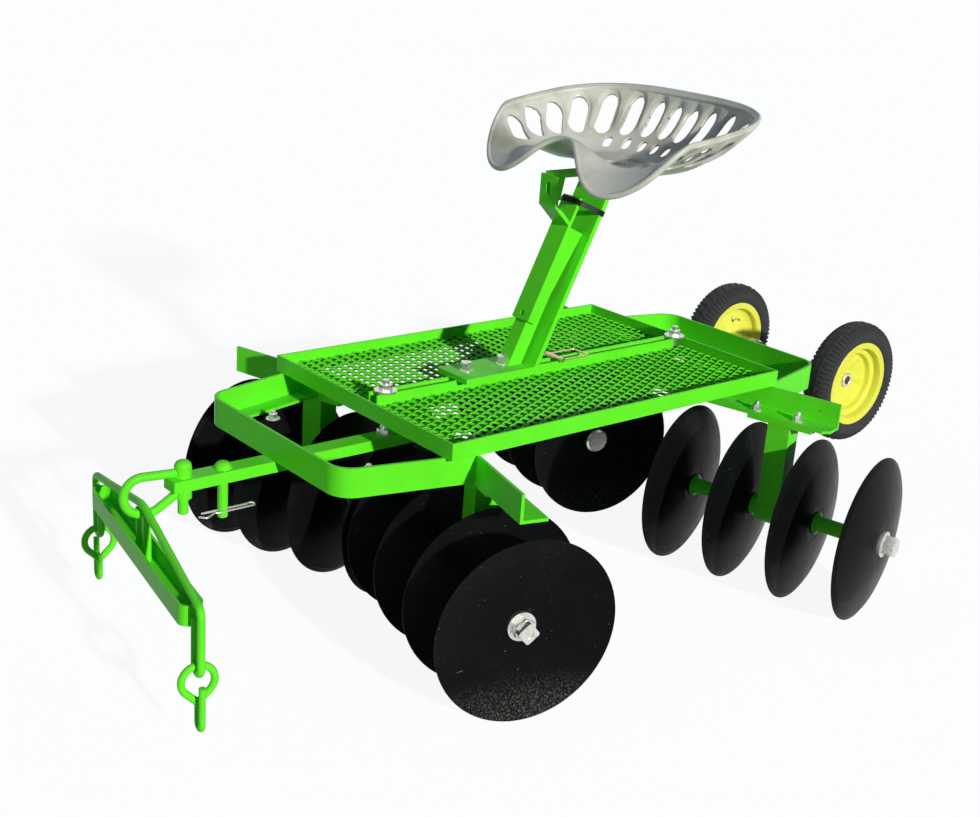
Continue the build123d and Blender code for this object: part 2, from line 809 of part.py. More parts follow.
with BuildPart() as deck_bolts:
    for bolt_station in (hitch_to_front_bolt, hitch_to_rear_bolt):
        bolt_y = station(bolt_station)
        washer_top = deck_top + deck_washer_thickness
        with BuildSketch(Plane((0, bolt_y, frame_base))):
            Circle(deck_bolt_diameter / 2)
        extrude(amount=washer_top + bolt_end_length - frame_base)
        with BuildSketch(Plane((0, bolt_y, deck_top))):
            Circle(deck_washer_diameter / 2)
        extrude(amount=deck_washer_thickness)
        with BuildSketch(Plane((0, bolt_y, washer_top)), Plane((0, bolt_y, frame_base))):
            RegularPolygon(hex_width / 2, 6, major_radius=False)
        extrude(amount=hex_height)
save(deck_bolts, "deck_bolts")

# Lock pin with its wire bail, laid across the rails
lock_y = station(hitch_to_lock_pin)
lock_height = deck_top + lock_pin_diameter / 2
with BuildPart() as lock_pin:
    with BuildSketch(Plane((-lock_pin_length / 2, lock_y, lock_height), z_dir=(1, 0, 0))):
        Circle(lock_pin_diameter / 2)
    extrude(amount=lock_pin_length)
    half_bail = lock_pin_length / 2 - lock_wire
    with BuildLine() as bail:
        FilletPolyline(
            (-half_bail, lock_y, lock_height),
            (-half_bail, lock_y + lock_bail_length, lock_height),
            (half_bail, lock_y + lock_bail_length, lock_height),
            (half_bail, lock_y, lock_height),
            radius=2 * lock_wire,
        )
    with BuildSketch(Plane(bail.line @ 0, z_dir=bail.line % 0)):
        Circle(lock_wire / 2)
    sweep()
save(lock_pin, "lock_pin")

# Seat bar: one flat bar, bolted flat on the rails and bent up and back as the seat's post
seat_base_front = station(hitch_to_seat_base)
bend_y = seat_base_front + seat_base_length
lean = radians(seat_post_lean)
post_plane = Plane(
    (0, bend_y, seat_bar_top), x_dir=(0, -cos(lean), sin(lean)), z_dir=(-1, 0, 0)
)
post_back = seat_bar_thickness / cos(lean)
tip_y = bend_y + (seat_post_top - seat_bar_top) * tan(lean)
with BuildPart() as seat_bar:
    with BuildSketch(Plane.YZ):
        with BuildLine():
            Polyline(
                (seat_base_front, deck_top),
                (seat_base_front, seat_bar_top),
                (bend_y, seat_bar_top),
                (tip_y, seat_post_top),
                (tip_y + post_back, seat_post_top),
                (bend_y + post_back - seat_bar_thickness * tan(lean), deck_top),
                close=True,
            )
        make_face()
    extrude(amount=seat_bar_width / 2, both=True)
save(seat_bar, "seat_bar")

# Channel in front of the post, standing on a square core bar
channel_top = post_channel_start + post_channel_length
web_inside = post_channel_depth - post_channel_wall
with BuildPart() as seat_channel:
    with BuildSketch(post_plane):
        with BuildLine():
            Polyline(
                (post_channel_depth, post_channel_start),
                (post_channel_depth, channel_top),
                (seat_clearance, channel_top),
                (post_channel_depth - post_channel_toe, post_channel_start),
                close=True,
            )
        make_face()
    extrude(amount=post_channel_width / 2, both=True)
    with BuildSketch(post_plane):
        with Locations((web_inside / 2, channel_top / 2)):
            Rectangle(web_inside, 2 * channel_top)
    extrude(amount=post_channel_width / 2 - post_channel_wall, both=True, mode=Mode.SUBTRACT)
    with BuildSketch(post_plane):
        with BuildLine():
            Polyline(
                (web_inside, -web_inside * tan(lean)),
                (web_inside, post_core_length),
                (web_inside - post_core, post_core_length),
                (web_inside - post_core, (post_core - web_inside) * tan(lean)),
                close=True,
            )
        make_face()
    extrude(amount=post_core / 2, both=True)
    web_plane = Plane(post_plane.origin, x_dir=(1, 0, 0), z_dir=post_plane.x_dir).offset(web_inside)
    with BuildSketch(web_plane):
        with Locations((0, post_hole_height)):
            Circle(post_hole_diameter / 2)
    extrude(amount=2 * post_channel_wall, mode=Mode.SUBTRACT)
save(seat_channel, "seat_channel")

# Fork on the channel: one strap straight on, one bent forwards and upright with an oval hole
with BuildPart() as seat_fork:
    strap_middle = post_channel_depth - fork_thickness / 2
    with BuildSketch(post_plane):
        with BuildLine():
            Polyline((strap_middle, channel_top), (strap_middle, channel_top + fork_length))
        trace(line_width=fork_thickness)
        with BuildLine():
            Polyline(
                (strap_middle, channel_top + fork_thickness / 2),
                (fork_bend_ahead, channel_top + fork_bend_rise),
                (fork_tip_ahead, channel_top + fork_tip_rise),
            )
        trace(line_width=fork_thickness)
    extrude(amount=post_channel_width / 2, both=True)
    with BuildSketch(post_plane):
        with Locations((strap_middle, channel_top - fork_length / 2)):
            Rectangle(post_channel_width, fork_length)
    extrude(amount=post_channel_width, both=True, mode=Mode.SUBTRACT)
    slot_place = post_plane.from_local_coords(
        Vector(fork_tip_ahead - fork_thickness, channel_top + fork_tip_rise - fork_slot_length, 0)
    )
    with BuildSketch(Plane(slot_place, x_dir=(0, 0, 1), z_dir=(0, 1, 0))):
        SlotOverall(fork_slot_length, fork_slot_width)
    extrude(amount=2 * fork_thickness, both=True, mode=Mode.SUBTRACT)
save(seat_fork, "seat_fork")

# Bracket from the fork up to the seat and back over the post
fork_face = post_plane.from_local_coords(
    Vector(fork_tip_ahead, channel_top + fork_tip_rise, 0)
).Y + fork_thickness / 2 + seat_clearance
seat_y = station(hitch_to_seat)
bracket_top = seat_post_top + bracket_thickness
with BuildPart() as seat_bracket:
    with BuildSketch(Plane.YZ):
        with BuildLine():
            Polyline(
                (fork_face, bracket_top),
                (fork_face, bracket_top - bracket_drop),
                (fork_face + bracket_thickness, bracket_top - bracket_drop),
                (fork_face + 2 * bracket_thickness, seat_post_top),
                (seat_y, seat_post_top),
                (seat_y, bracket_top),
                close=True,
            )
        make_face()
    extrude(amount=bracket_width / 2, both=True)
save(seat_bracket, "seat_bracket")


# Seat pan: a cast shell dished as two thigh lobes, a pommel between them and a high back
def ease(share):
    """Smooth step from 0 to 1."""
    held = min(1, max(0, share))
    return held * held * (3 - 2 * held)


def seat_reach(x, y):
    """Share of the way from the middle of the seat to its outline."""
    across = (abs(x) / seat_half_width) ** seat_squareness
    along = (abs(y) / seat_half_depth) ** seat_squareness
    return (across + along) ** (1 / seat_squareness)


def seat_height(x, y):
    """Height of the shell's underside over its floor."""
    forward = -y / seat_half_depth
    wall = max(0, (seat_reach(x, y) - seat_floor_share) / (1 - seat_floor_share)) ** seat_wall_curve
    rim = seat_side_rise - (seat_back_rise - seat_side_rise) * forward
    lobe = ease((forward - seat_lobe_start) / seat_lobe_span)
    ridge = exp(-((x / seat_pommel_width) ** 2)) * ease((forward - seat_pommel_start) / seat_pommel_span)
    return wall * ((1 - lobe) * rim - lobe * seat_lobe_drop) + seat_pommel_rise * ridge


def seat_slots(count, share):
    """Places of a ring of slots round the back, each turned to point at the middle."""
    places = []
    for k in range(count):
        turn = (k - (count - 1) / 2) * seat_slot_step
        way = Vector(sin(radians(turn)), cos(radians(turn)))
        spot = way * (share / seat_reach(way.X, way.Y))
        places.append(Location((spot.X, spot.Y), 90 - turn))
    return places


seat_base = bracket_top + bracket_clearance
grid_x = seat_half_width + seat_margin
grid_y = seat_half_depth + seat_margin
steps = [2 * i / seat_grid_steps - 1 for i in range(seat_grid_steps + 1)]
seat_grid = [
    [Vector(u * grid_x, seat_y + v * grid_y, seat_base + seat_height(u * grid_x, v * grid_y)) for v in steps]
    for u in steps
]
seat_outline = []
for k in range(seat_outline_steps):
    turn = 2 * pi * k / seat_outline_steps
    x = seat_half_width * copysign(abs(cos(turn)) ** (2 / seat_squareness), cos(turn))
    y = seat_half_depth * copysign(abs(sin(turn)) ** (2 / seat_squareness), sin(turn))
    notch = seat_notch * exp(-((x / seat_pommel_width) ** 2)) if y < 0 else 0
    seat_outline.append((x, y + notch))
with BuildPart() as seat_pan:
    extrude(Face.make_surface_from_array_of_points(seat_grid, tol=0.3), amount=seat_wall, dir=(0, 0, 1))
    with BuildSketch(Plane((0, seat_y, 0))):
        with BuildLine():
            Spline(*seat_outline, periodic=True)
        make_face()
    extrude(amount=2 * seat_base, mode=Mode.INTERSECT)
    with BuildSketch(Plane((0, seat_y, 0))):
        with Locations(*seat_slots(seat_outer_slots, seat_outer_share)):
            SlotOverall(seat_slot_length, seat_slot_width)
        with Locations(*seat_slots(seat_inner_slots, seat_inner_share)):
            SlotOverall(seat_inner_length, seat_inner_width)
        with Locations((0, seat_hole_offset)):
            with GridLocations(1, seat_hole_spacing, 1, 2):
                Circle(seat_hole_diameter / 2)
    extrude(amount=2 * seat_base, mode=Mode.SUBTRACT)
save(seat_pan, "seat_pan")

# Lugs and pivot pin of the wheel carrier, welded under the rear bar
pivot_y = station(hitch_to_carrier_pivot)
with BuildPart() as carrier_lugs:
    for side in (-1, 1):
        with BuildSketch(Plane.YZ.offset(side * (lug_offset + lug_thickness / 2))):
            with Locations((pivot_y, (pivot_height + frame_base) / 2)):
                Rectangle(lug_width, frame_base - pivot_height)
            with Locations((pivot_y, pivot_height)):
                Circle(lug_width / 2)
        extrude(amount=-side * lug_thickness)
    with BuildSketch(Plane.YZ.offset(-lug_offset)):
        with Locations((pivot_y, pivot_height)):
            Circle(pivot_pin_diameter / 2)
    extrude(amount=2 * lug_offset)
save(carrier_lugs, "carrier_lugs")

# Wheel carrier: two arms on a tube round the pivot pin, and a stub axle on each arm
axle_y = station(hitch_to_axle)
arm_outside = arm_offset + arm_thickness / 2
with BuildPart() as carrier_arms:
    for side in (-1, 1):
        with BuildSketch(Plane.YZ.offset(side * arm_outside)):
            with BuildLine():
                Line((pivot_y, pivot_height), (axle_y, wheel_axle_height))
            trace(line_width=arm_depth)
            with Locations((pivot_y, pivot_height), (axle_y, wheel_axle_height)):
                Circle(arm_depth / 2)
        extrude(amount=-side * arm_thickness)
    with BuildSketch(Plane.YZ.offset(-arm_offset)):
        with Locations((pivot_y, pivot_height)):
            Circle(pivot_tube_diameter / 2)
    extrude(amount=2 * arm_offset)
    with BuildSketch(Plane.YZ.offset(-2 * arm_offset)):
        with Locations((pivot_y, pivot_height)):
            Circle(pivot_pin_diameter / 2 + running_clearance)
    extrude(amount=4 * arm_offset, mode=Mode.SUBTRACT)
save(carrier_arms, "carrier_arms")

hub_end = wheel_half_track + rim_width / 2 - hub_recess
hub_start = hub_end - hub_length
cap_start = hub_end + seat_clearance
with BuildPart() as stub_axles:
    for side in (-1, 1):
        for start, finish, diameter in (
            (arm_outside, hub_start - seat_clearance, axle_sleeve_diameter),
            (arm_outside, cap_start, wheel_axle_diameter),
            (cap_start, cap_start + axle_cap_thickness, axle_cap_diameter),
        ):
            with BuildSketch(Plane.YZ.offset(side * start)):
                with Locations((axle_y, wheel_axle_height)):
                    Circle(diameter / 2)
            extrude(amount=side * (finish - start))
save(stub_axles, "stub_axles")

# Road wheels: dished rims with a deep hub, and tyres
wheel_axis = Axis((0, axle_y, wheel_axle_height), (1, 0, 0))
rim_inside = rim_diameter / 2 - rim_flange_height - rim_wall
bead = rim_inside + rim_wall
flange_inside = rim_width / 2 - rim_wall
with BuildPart() as left_rim:
    with BuildSketch(Plane((wheel_half_track, axle_y, wheel_axle_height))):
        with BuildLine():
            Polyline(
                (-rim_width / 2, rim_inside),
                (-rim_width / 2, rim_diameter / 2),
                (-flange_inside, rim_diameter / 2),
                (-flange_inside, bead),
                (flange_inside, bead),
                (flange_inside, rim_diameter / 2),
                (rim_width / 2, rim_diameter / 2),
                (rim_width / 2, rim_inside),
                close=True,
            )
        make_face()
        hub_local = hub_end - wheel_half_track
        with BuildLine():
            Polyline(
                (-rim_wall, bead - rim_wall / 2),
                (0, bead - rim_wall / 2),
                (hub_local - rim_wall, hub_diameter / 2 - rim_wall),
                (hub_local - 2 * rim_wall, hub_diameter / 2 - rim_wall),
                close=True,
            )
        make_face()
        with BuildLine():
            Polyline(
                (hub_local, wheel_axle_diameter / 2 + running_clearance),
                (hub_local, hub_diameter / 2),
                (hub_local - hub_length, hub_diameter / 2),
                (hub_local - hub_length, wheel_axle_diameter / 2 + running_clearance),
                close=True,
            )
        make_face()
    revolve(axis=wheel_axis)
save(left_rim, "left_rim")
save(mirrored(left_rim), "right_rim")

with BuildPart() as left_tyre:
    with BuildSketch(Plane((wheel_half_track, axle_y, wheel_axle_height))):
        with BuildLine():
            Polyline(
                (0, bead),
                (flange_inside, bead),
                (flange_inside, rim_diameter / 2 + rim_wall / 2),
                (tyre_width * 0.42, rim_diameter / 2 + 2 * rim_wall),
                (tyre_width * 0.5, tyre_radius * 0.81),
                (tyre_width * 0.48, tyre_radius * 0.89),
                (tyre_width * 0.38, tyre_radius * 0.96),
                (tyre_width * 0.2, tyre_radius * 0.994),
                (0, tyre_radius),
                close=True,
            )
        make_face()
        mirror(about=Plane.YZ)
    revolve(axis=wheel_axis)
save(left_tyre, "left_tyre")
save(mirrored(left_tyre), "right_tyre")
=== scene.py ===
import logging
import math
from dataclasses import dataclass, field
from enum import Enum
from typing import Any, Mapping, Optional, Sequence, Union

import bmesh
import bpy
import numpy as np
from mathutils import Matrix, Vector


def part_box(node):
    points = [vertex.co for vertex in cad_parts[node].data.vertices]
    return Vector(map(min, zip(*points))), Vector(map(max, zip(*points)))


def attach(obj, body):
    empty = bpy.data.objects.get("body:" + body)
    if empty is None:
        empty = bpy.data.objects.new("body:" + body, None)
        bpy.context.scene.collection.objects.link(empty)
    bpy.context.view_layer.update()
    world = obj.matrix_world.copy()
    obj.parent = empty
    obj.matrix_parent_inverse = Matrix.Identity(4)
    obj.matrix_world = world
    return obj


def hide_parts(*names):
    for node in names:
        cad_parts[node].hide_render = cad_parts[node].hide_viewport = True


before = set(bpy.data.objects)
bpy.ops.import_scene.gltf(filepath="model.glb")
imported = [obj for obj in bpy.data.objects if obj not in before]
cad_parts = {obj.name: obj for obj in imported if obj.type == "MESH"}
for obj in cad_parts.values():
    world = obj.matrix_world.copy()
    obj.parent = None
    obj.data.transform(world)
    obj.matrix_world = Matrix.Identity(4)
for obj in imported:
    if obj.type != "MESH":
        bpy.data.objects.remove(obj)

LOG = logging.getLogger("harrow")
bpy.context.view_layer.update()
MM = 0.001
Number = Union[int, float]
Colour = tuple[float, float, float]


class Signal:
    """One value in a shader; arithmetic on it adds Math nodes."""

    def __init__(self, sheet: "NodeSheet", socket: bpy.types.NodeSocket) -> None:
        """Wrap a socket.

        Args:
            sheet: The node sheet that the socket is on.
            socket: An output socket.
        """
        self.sheet = sheet
        self.socket = socket

    def math(self, operation: str, *terms: Union["Signal", Number]) -> "Signal":
        """Add one Math node.

        Args:
            operation: The Math node's operation.
            terms: Its inputs in order.

        Returns:
            The node's value.
        """
        return self.sheet.node("ShaderNodeMath", {"operation": operation}, dict(enumerate(terms)))

    def __add__(self, other: Union["Signal", Number]) -> "Signal":
        """Sum."""
        return self.math("ADD", self, other)

    __radd__ = __add__

    def __mul__(self, other: Union["Signal", Number]) -> "Signal":
        """Product."""
        return self.math("MULTIPLY", self, other)

    __rmul__ = __mul__

    def __sub__(self, other: Union["Signal", Number]) -> "Signal":
        """Difference."""
        return self.math("SUBTRACT", self, other)

    def __rsub__(self, other: Number) -> "Signal":
        """Difference from a number."""
        return self.math("SUBTRACT", other, self)

    def step(self, low: float, high: float) -> "Signal":
        """Smooth step of this value.

        Args:
            low: The value that gives 0.
            high: The value that gives 1.

        Returns:
            The stepped value.
        """
        settings = {"interpolation_type": "SMOOTHSTEP"}
        return self.sheet.node("ShaderNodeMapRange", settings, {"Value": self, "From Min": low, "From Max": high})


class NodeSheet:
    """The node tree of one material."""

    def __init__(self, name: str) -> None:
        """Start an empty material.

        Args:
            name: The material's name.
        """
        self.material = bpy.data.materials.new(name)
        self.material.use_nodes = True
        self.tree = self.material.node_tree
        self.tree.nodes.clear()

    def node(
        self,
        kind: str,
        settings: Optional[Mapping[str, Any]] = None,
        inputs: Optional[Mapping[Union[str, int], Any]] = None,
        output: Union[str, int] = 0,
    ) -> Signal:
        """Add a node.

        Args:
            kind: The node's type.
            settings: Its properties.
            inputs: Values or signals for its sockets.
            output: The socket that is handed back.

        Returns:
            The chosen output.
        """
        made = self.tree.nodes.new(kind)
        for key, value in (settings or {}).items():
            setattr(made, key, value)
        for key, value in (inputs or {}).items():
            if isinstance(value, Signal):
                self.tree.links.new(value.socket, made.inputs[key])
            else:
                made.inputs[key].default_value = value
        return Signal(self, made.outputs[output])

    def place(self) -> Signal:
        """The Object coordinates."""
        return self.node("ShaderNodeTexCoord", output="Object")

    def noise(self, scale: float, detail: float = 4, stretch: Colour = (1, 1, 1), rough: float = 0.55) -> Signal:
        """Noise on Object coordinates.

        Args:
            scale: Waves in a metre.
            detail: Octaves.
            stretch: Share of the scale along each axis.
            rough: How much each finer octave counts.

        Returns:
            The noise, about 0.5.
        """
        spot = self.node("ShaderNodeMapping", inputs={"Vector": self.place(), "Scale": stretch})
        settings = {"noise_dimensions": "3D"}
        inputs = {"Vector": spot, "Scale": scale, "Detail": detail, "Roughness": rough}
        return self.node("ShaderNodeTexNoise", settings, inputs, "Fac")

    def mix(self, share: Union[Signal, Number], first: Any, second: Any) -> Signal:
        """Mix of two colours.

        Args:
            share: Share of the second.
            first: A colour or signal.
            second: A colour or signal.

        Returns:
            The mixed colour.
        """
        settings = {"data_type": "RGBA"}
        inputs = {0: share, 6: rgba(first), 7: rgba(second)}
        return self.node("ShaderNodeMix", settings, inputs, 2)

    def upward(self) -> Signal:
        """How far the surface faces up, from -1 to 1."""
        normal = self.node("ShaderNodeNewGeometry", output="Normal")
        return self.node("ShaderNodeSeparateXYZ", inputs={0: normal}, output="Z")

    def bump(self, height: Signal, distance: float, strength: float = 1) -> Signal:
        """A bumped normal.

        Args:
            height: The height signal.
            distance: Its size in metres.
            strength: How strongly it counts.

        Returns:
            The normal.
        """
        inputs = {"Height": height, "Distance": distance, "Strength": strength}
        return self.node("ShaderNodeBump", inputs=inputs)

    def finish(self, **sockets: Any) -> bpy.types.Material:
        """Close the material with one surface shader.

        Args:
            sockets: The shader's sockets, with _ for a space.

        Returns:
            The material.
        """
        inputs = {key.replace("_", " "): value for key, value in sockets.items()}
        shader = self.node("ShaderNodeBsdfPrincipled", inputs=inputs)
        out = self.tree.nodes.new("ShaderNodeOutputMaterial")
        self.tree.links.new(shader.socket, out.inputs["Surface"])
        return self.material


def rgba(colour: Any) -> Any:
    """A colour with full alpha; a signal is handed back as it is."""
    return colour if isinstance(colour, Signal) else (*colour, 1.0)


@dataclass(frozen=True)
class GlossPaint:
    """Sprayed gloss paint with dust and painted sheen on its upper faces, small chips, and painted shade where the
    depth attribute is high.
    """

    name: str
    colour: Colour
    deep: Colour
    # dust colour, also standing for a painted sheen on upper faces
    dust: Colour = (0.42, 0.40, 0.32)
    dust_and_sheen_share: float = 0.26
    roughness: float = 0.32
    chip: Colour = (0.09, 0.085, 0.07)
    # painted shade colour for the mesh strands' lower edges, used where the depth attribute is high
    painted_shade: Optional[Colour] = None

    def material(self) -> bpy.types.Material:
        """The paint as a material."""
        sheet = NodeSheet(self.name)
        cloud = sheet.noise(7, 5)
        fine = sheet.noise(160, 3)
        body = sheet.mix(cloud.step(0.35, 0.7) * 0.5, self.colour, self.deep)
        # upper faces take the dust colour in patches: partly real dust, partly a painted reflection of the sky
        top_dust_and_sheen = sheet.upward().step(0.3, 1.0) * sheet.noise(14, 6).step(0.42, 0.75) * self.dust_and_sheen_share
        dusted_and_sheened = sheet.mix(top_dust_and_sheen, body, self.dust)
        chips = sheet.noise(95, 2).step(0.735, 0.765) * sheet.noise(9, 3).step(0.5, 0.62)
        colour = sheet.mix(chips, dusted_and_sheened, self.chip)
        # painted shade: the colour darkens towards this colour where the depth attribute is high
        if self.painted_shade:
            deep = sheet.node("ShaderNodeAttribute", {"attribute_name": Shape.DEPTH}, output="Fac")
            colour = sheet.mix(deep.step(0.42, 0.78), colour, self.painted_shade)
        rough = self.roughness + top_dust_and_sheen * 0.9 + (fine - 0.5) * 0.12 + chips * 0.3
        skin = sheet.noise(420, 2) * 0.6 - chips * 0.8
        return sheet.finish(
            Base_Color=colour, Roughness=rough, Normal=sheet.bump(skin, 0.00025, 0.6), Specular_IOR_Level=0.06
        )


@dataclass(frozen=True)
class BladeEnamel:
    """Black lacquer on a rolled blade, with soil dust near its rim and scratches."""

    name: str
    colour: Colour = (0.0045, 0.0052, 0.0048)
    dust: Colour = (0.20, 0.215, 0.17)
    bare: Colour = (0.30, 0.31, 0.27)

    def material(self) -> bpy.types.Material:
        """The lacquer as a material."""
        sheet = NodeSheet(self.name)
        patch = sheet.noise(6.5, 4).step(0.45, 0.72)
        grit = sheet.noise(230, 5, rough=0.7)
        height = sheet.node("ShaderNodeSeparateXYZ", inputs={0: sheet.place()}, output="Z")
        low = 1 - height.step(0.0, 0.11)
        soil = (patch * 0.08 + low * 0.9) * grit.step(0.46, 0.66)
        scratch = sheet.noise(60, 3, (1.0, 0.12, 1.0)).step(0.70, 0.74) * sheet.noise(11, 2).step(0.5, 0.65)
        speck = sheet.noise(140, 1).step(0.77, 0.80)
        colour = sheet.mix(soil * 0.6, self.colour, self.dust)
        colour = sheet.mix(scratch * 0.3 + speck * 0.25, colour, self.bare)
        rough = 0.3 + soil * 0.45 + (sheet.noise(24, 4) - 0.5) * 0.25
        relief = grit * soil + sheet.noise(46, 4) * 0.5
        return sheet.finish(
            Base_Color=colour, Roughness=rough, Normal=sheet.bump(relief, 0.0006, 0.5), Specular_IOR_Level=0.03
        )


@dataclass(frozen=True)
class CastMetal:
    """Sand-cast aluminium, brighter and duller in random patches."""

    name: str
    bright: Colour = (0.63, 0.62, 0.51)
    dull: Colour = (0.42, 0.40, 0.29)

    def material(self) -> bpy.types.Material:
        """The casting as a material."""
        sheet = NodeSheet(self.name)
        cloud = sheet.noise(9, 6)
        grain = sheet.noise(330, 4)
        colour = sheet.mix(cloud.step(0.4, 0.72), self.bright, self.dull)
        rough = 0.30 + cloud.step(0.35, 0.75) * 0.22 + (grain - 0.5) * 0.15
        dents = sheet.noise(70, 4) * 0.6 + grain * 0.4
        return sheet.finish(
            Base_Color=colour, Metallic=0.04, Roughness=rough, Normal=sheet.bump(dents, 0.0006, 0.6),
            Specular_IOR_Level=0.14,
        )


@dataclass(frozen=True)
class Plating:
    """Zinc plating with faint streaks and worn edges."""

    name: str
    colour: Colour = (0.72, 0.72, 0.68)
    stain: Colour = (0.40, 0.38, 0.31)
    roughness: float = 0.30

    def material(self) -> bpy.types.Material:
        """The plating as a material."""
        sheet = NodeSheet(self.name)
        streak = sheet.noise(120, 5)
        colour = sheet.mix(streak.step(0.45, 0.75) * 0.7, self.colour, self.stain)
        rough = self.roughness + (streak - 0.5) * 0.3
        return sheet.finish(
            Base_Color=colour, Metallic=0.9, Roughness=rough, Normal=sheet.bump(sheet.noise(500, 3), 0.0002, 0.4)
        )


@dataclass(frozen=True)
class Rubber:
    """Dusty tyre rubber, with painted shade in its grooves."""

    name: str
    colour: Colour = (0.036, 0.040, 0.035)
    dust: Colour = (0.10, 0.105, 0.082)
    # painted shade colour for the tyre's grooves
    groove: Colour = (0.0025, 0.003, 0.0025)

    def material(self) -> bpy.types.Material:
        """The rubber as a material."""
        sheet = NodeSheet(self.name)
        cloud = sheet.noise(18, 5)
        grain = sheet.noise(260, 4)
        colour = sheet.mix(cloud.step(0.4, 0.75) * 0.35, self.colour, self.dust)
        deep = sheet.node("ShaderNodeAttribute", {"attribute_name": Shape.DEPTH}, output="Fac")
        # painted shade: darker where the depth attribute marks grooves
        colour = sheet.mix(deep.step(0.25, 0.8), colour, self.groove)
        rough = 0.36 + (grain - 0.5) * 0.2 + cloud.step(0.4, 0.8) * 0.12
        return sheet.finish(
            Base_Color=colour, Roughness=rough, Normal=sheet.bump(grain, 0.0005, 0.5), Specular_IOR_Level=0.1
        )


class Finish(Enum):
    """The finishes on the machine."""

    GREEN = GlossPaint("lime_green_paint", (0.13, 0.82, 0.022), (0.105, 0.72, 0.014))
    # mesh paint with painted shade on each strand's lower edge
    MESH = GlossPaint("mesh_green_paint", (0.13, 0.82, 0.022), (0.105, 0.72, 0.014), painted_shade=(0.004, 0.012, 0.006))
    YELLOW = GlossPaint("yellow_rim_paint", (0.80, 0.80, 0.10), (0.72, 0.68, 0.05), dust_and_sheen_share=0.1)
    BLADE = BladeEnamel("black_blade_lacquer")
    SEAT = CastMetal("cast_seat_metal")
    ZINC = Plating("zinc_plate")
    GOLD = Plating("yellow_zinc_plate", (0.74, 0.58, 0.36), (0.46, 0.36, 0.22), 0.34)
    RUBBER = Rubber("tyre_rubber")
    RUST = Rubber("rusty_bore", (0.075, 0.04, 0.02), (0.15, 0.09, 0.05))
    STRAP = Rubber("black_strap", (0.006, 0.006, 0.006), (0.02, 0.02, 0.018))

    def material(self) -> bpy.types.Material:
        """This finish's material, made once."""
        return bpy.data.materials.get(self.value.name) or self.value.material()


def dress(obj: bpy.types.Object, finish: Finish) -> None:
    """Give an object one finish.

    Args:
        obj: A mesh object.
        finish: Its finish.
    """
    obj.data.materials.clear()
    obj.data.materials.append(finish.material())


def unit(vectors: Any) -> np.ndarray:
    """Vectors at length 1."""
    vectors = np.asarray(vectors, float)
    return vectors / np.linalg.norm(vectors, axis=-1, keepdims=True)


def ease(share: np.ndarray) -> np.ndarray:
    """Smooth step from 0 to 1: three squares less two cubes of the held share."""
    held = np.clip(share, 0, 1)
    return held * held * (3 - 2 * held)


def ring(count: int, radius_u: float, radius_v: float) -> np.ndarray:
    """Points round an ellipse: cosine and sine of the angle times its two radii."""
    turn = np.arange(count) * 2 * np.pi / count
    return np.stack((radius_u * np.cos(turn), radius_v * np.sin(turn)), -1)


def revolve(profile: Any, centre: Sequence[float], axis: Sequence[float], count: int) -> np.ndarray:
    """Turn a profile about an axis.

    A point at angle t is the centre, plus the way along times the axis, plus the radius times cos t of one
    cross direction and sin t of the other.

    Args:
        profile: Rows of radius and way along.
        centre: A point on the axis.
        axis: The axis's direction.
        count: Steps round.

    Returns:
        A lattice with one row a step.
    """
    profile = np.asarray(profile, float)
    axis = unit(axis)
    side = unit(np.cross(axis, (0.0, 0.0, 1.0) if abs(axis[2]) < 0.9 else (1.0, 0.0, 0.0)))
    across = np.cross(axis, side)
    turn = np.arange(count) * 2 * np.pi / count
    spoke = np.cos(turn)[:, None] * side + np.sin(turn)[:, None] * across
    return np.asarray(centre, float) + profile[None, :, 1, None] * axis + profile[None, :, 0, None] * spoke[:, None]


def sweep(path: np.ndarray, section: np.ndarray, normal: np.ndarray, closed: bool) -> np.ndarray:
    """Carry a section along a path.

    At each point the section's first value runs along the side direction, which is square to the path and the
    surface's normal, and its second along the direction square to both.

    Args:
        path: Points along the way.
        section: Rows of side and height.
        normal: The surface's normal at each point.
        closed: Whether the path returns to its start.

    Returns:
        A lattice with one row a point.
    """
    ahead = np.roll(path, -1, 0) - np.roll(path, 1, 0)
    if not closed:
        ahead[0], ahead[-1] = path[1] - path[0], path[-1] - path[-2]
    side = unit(np.cross(ahead, normal))
    above = unit(np.cross(side, ahead))
    return path[:, None] + section[None, :, :1] * side[:, None] + section[None, :, 1:] * above[:, None]


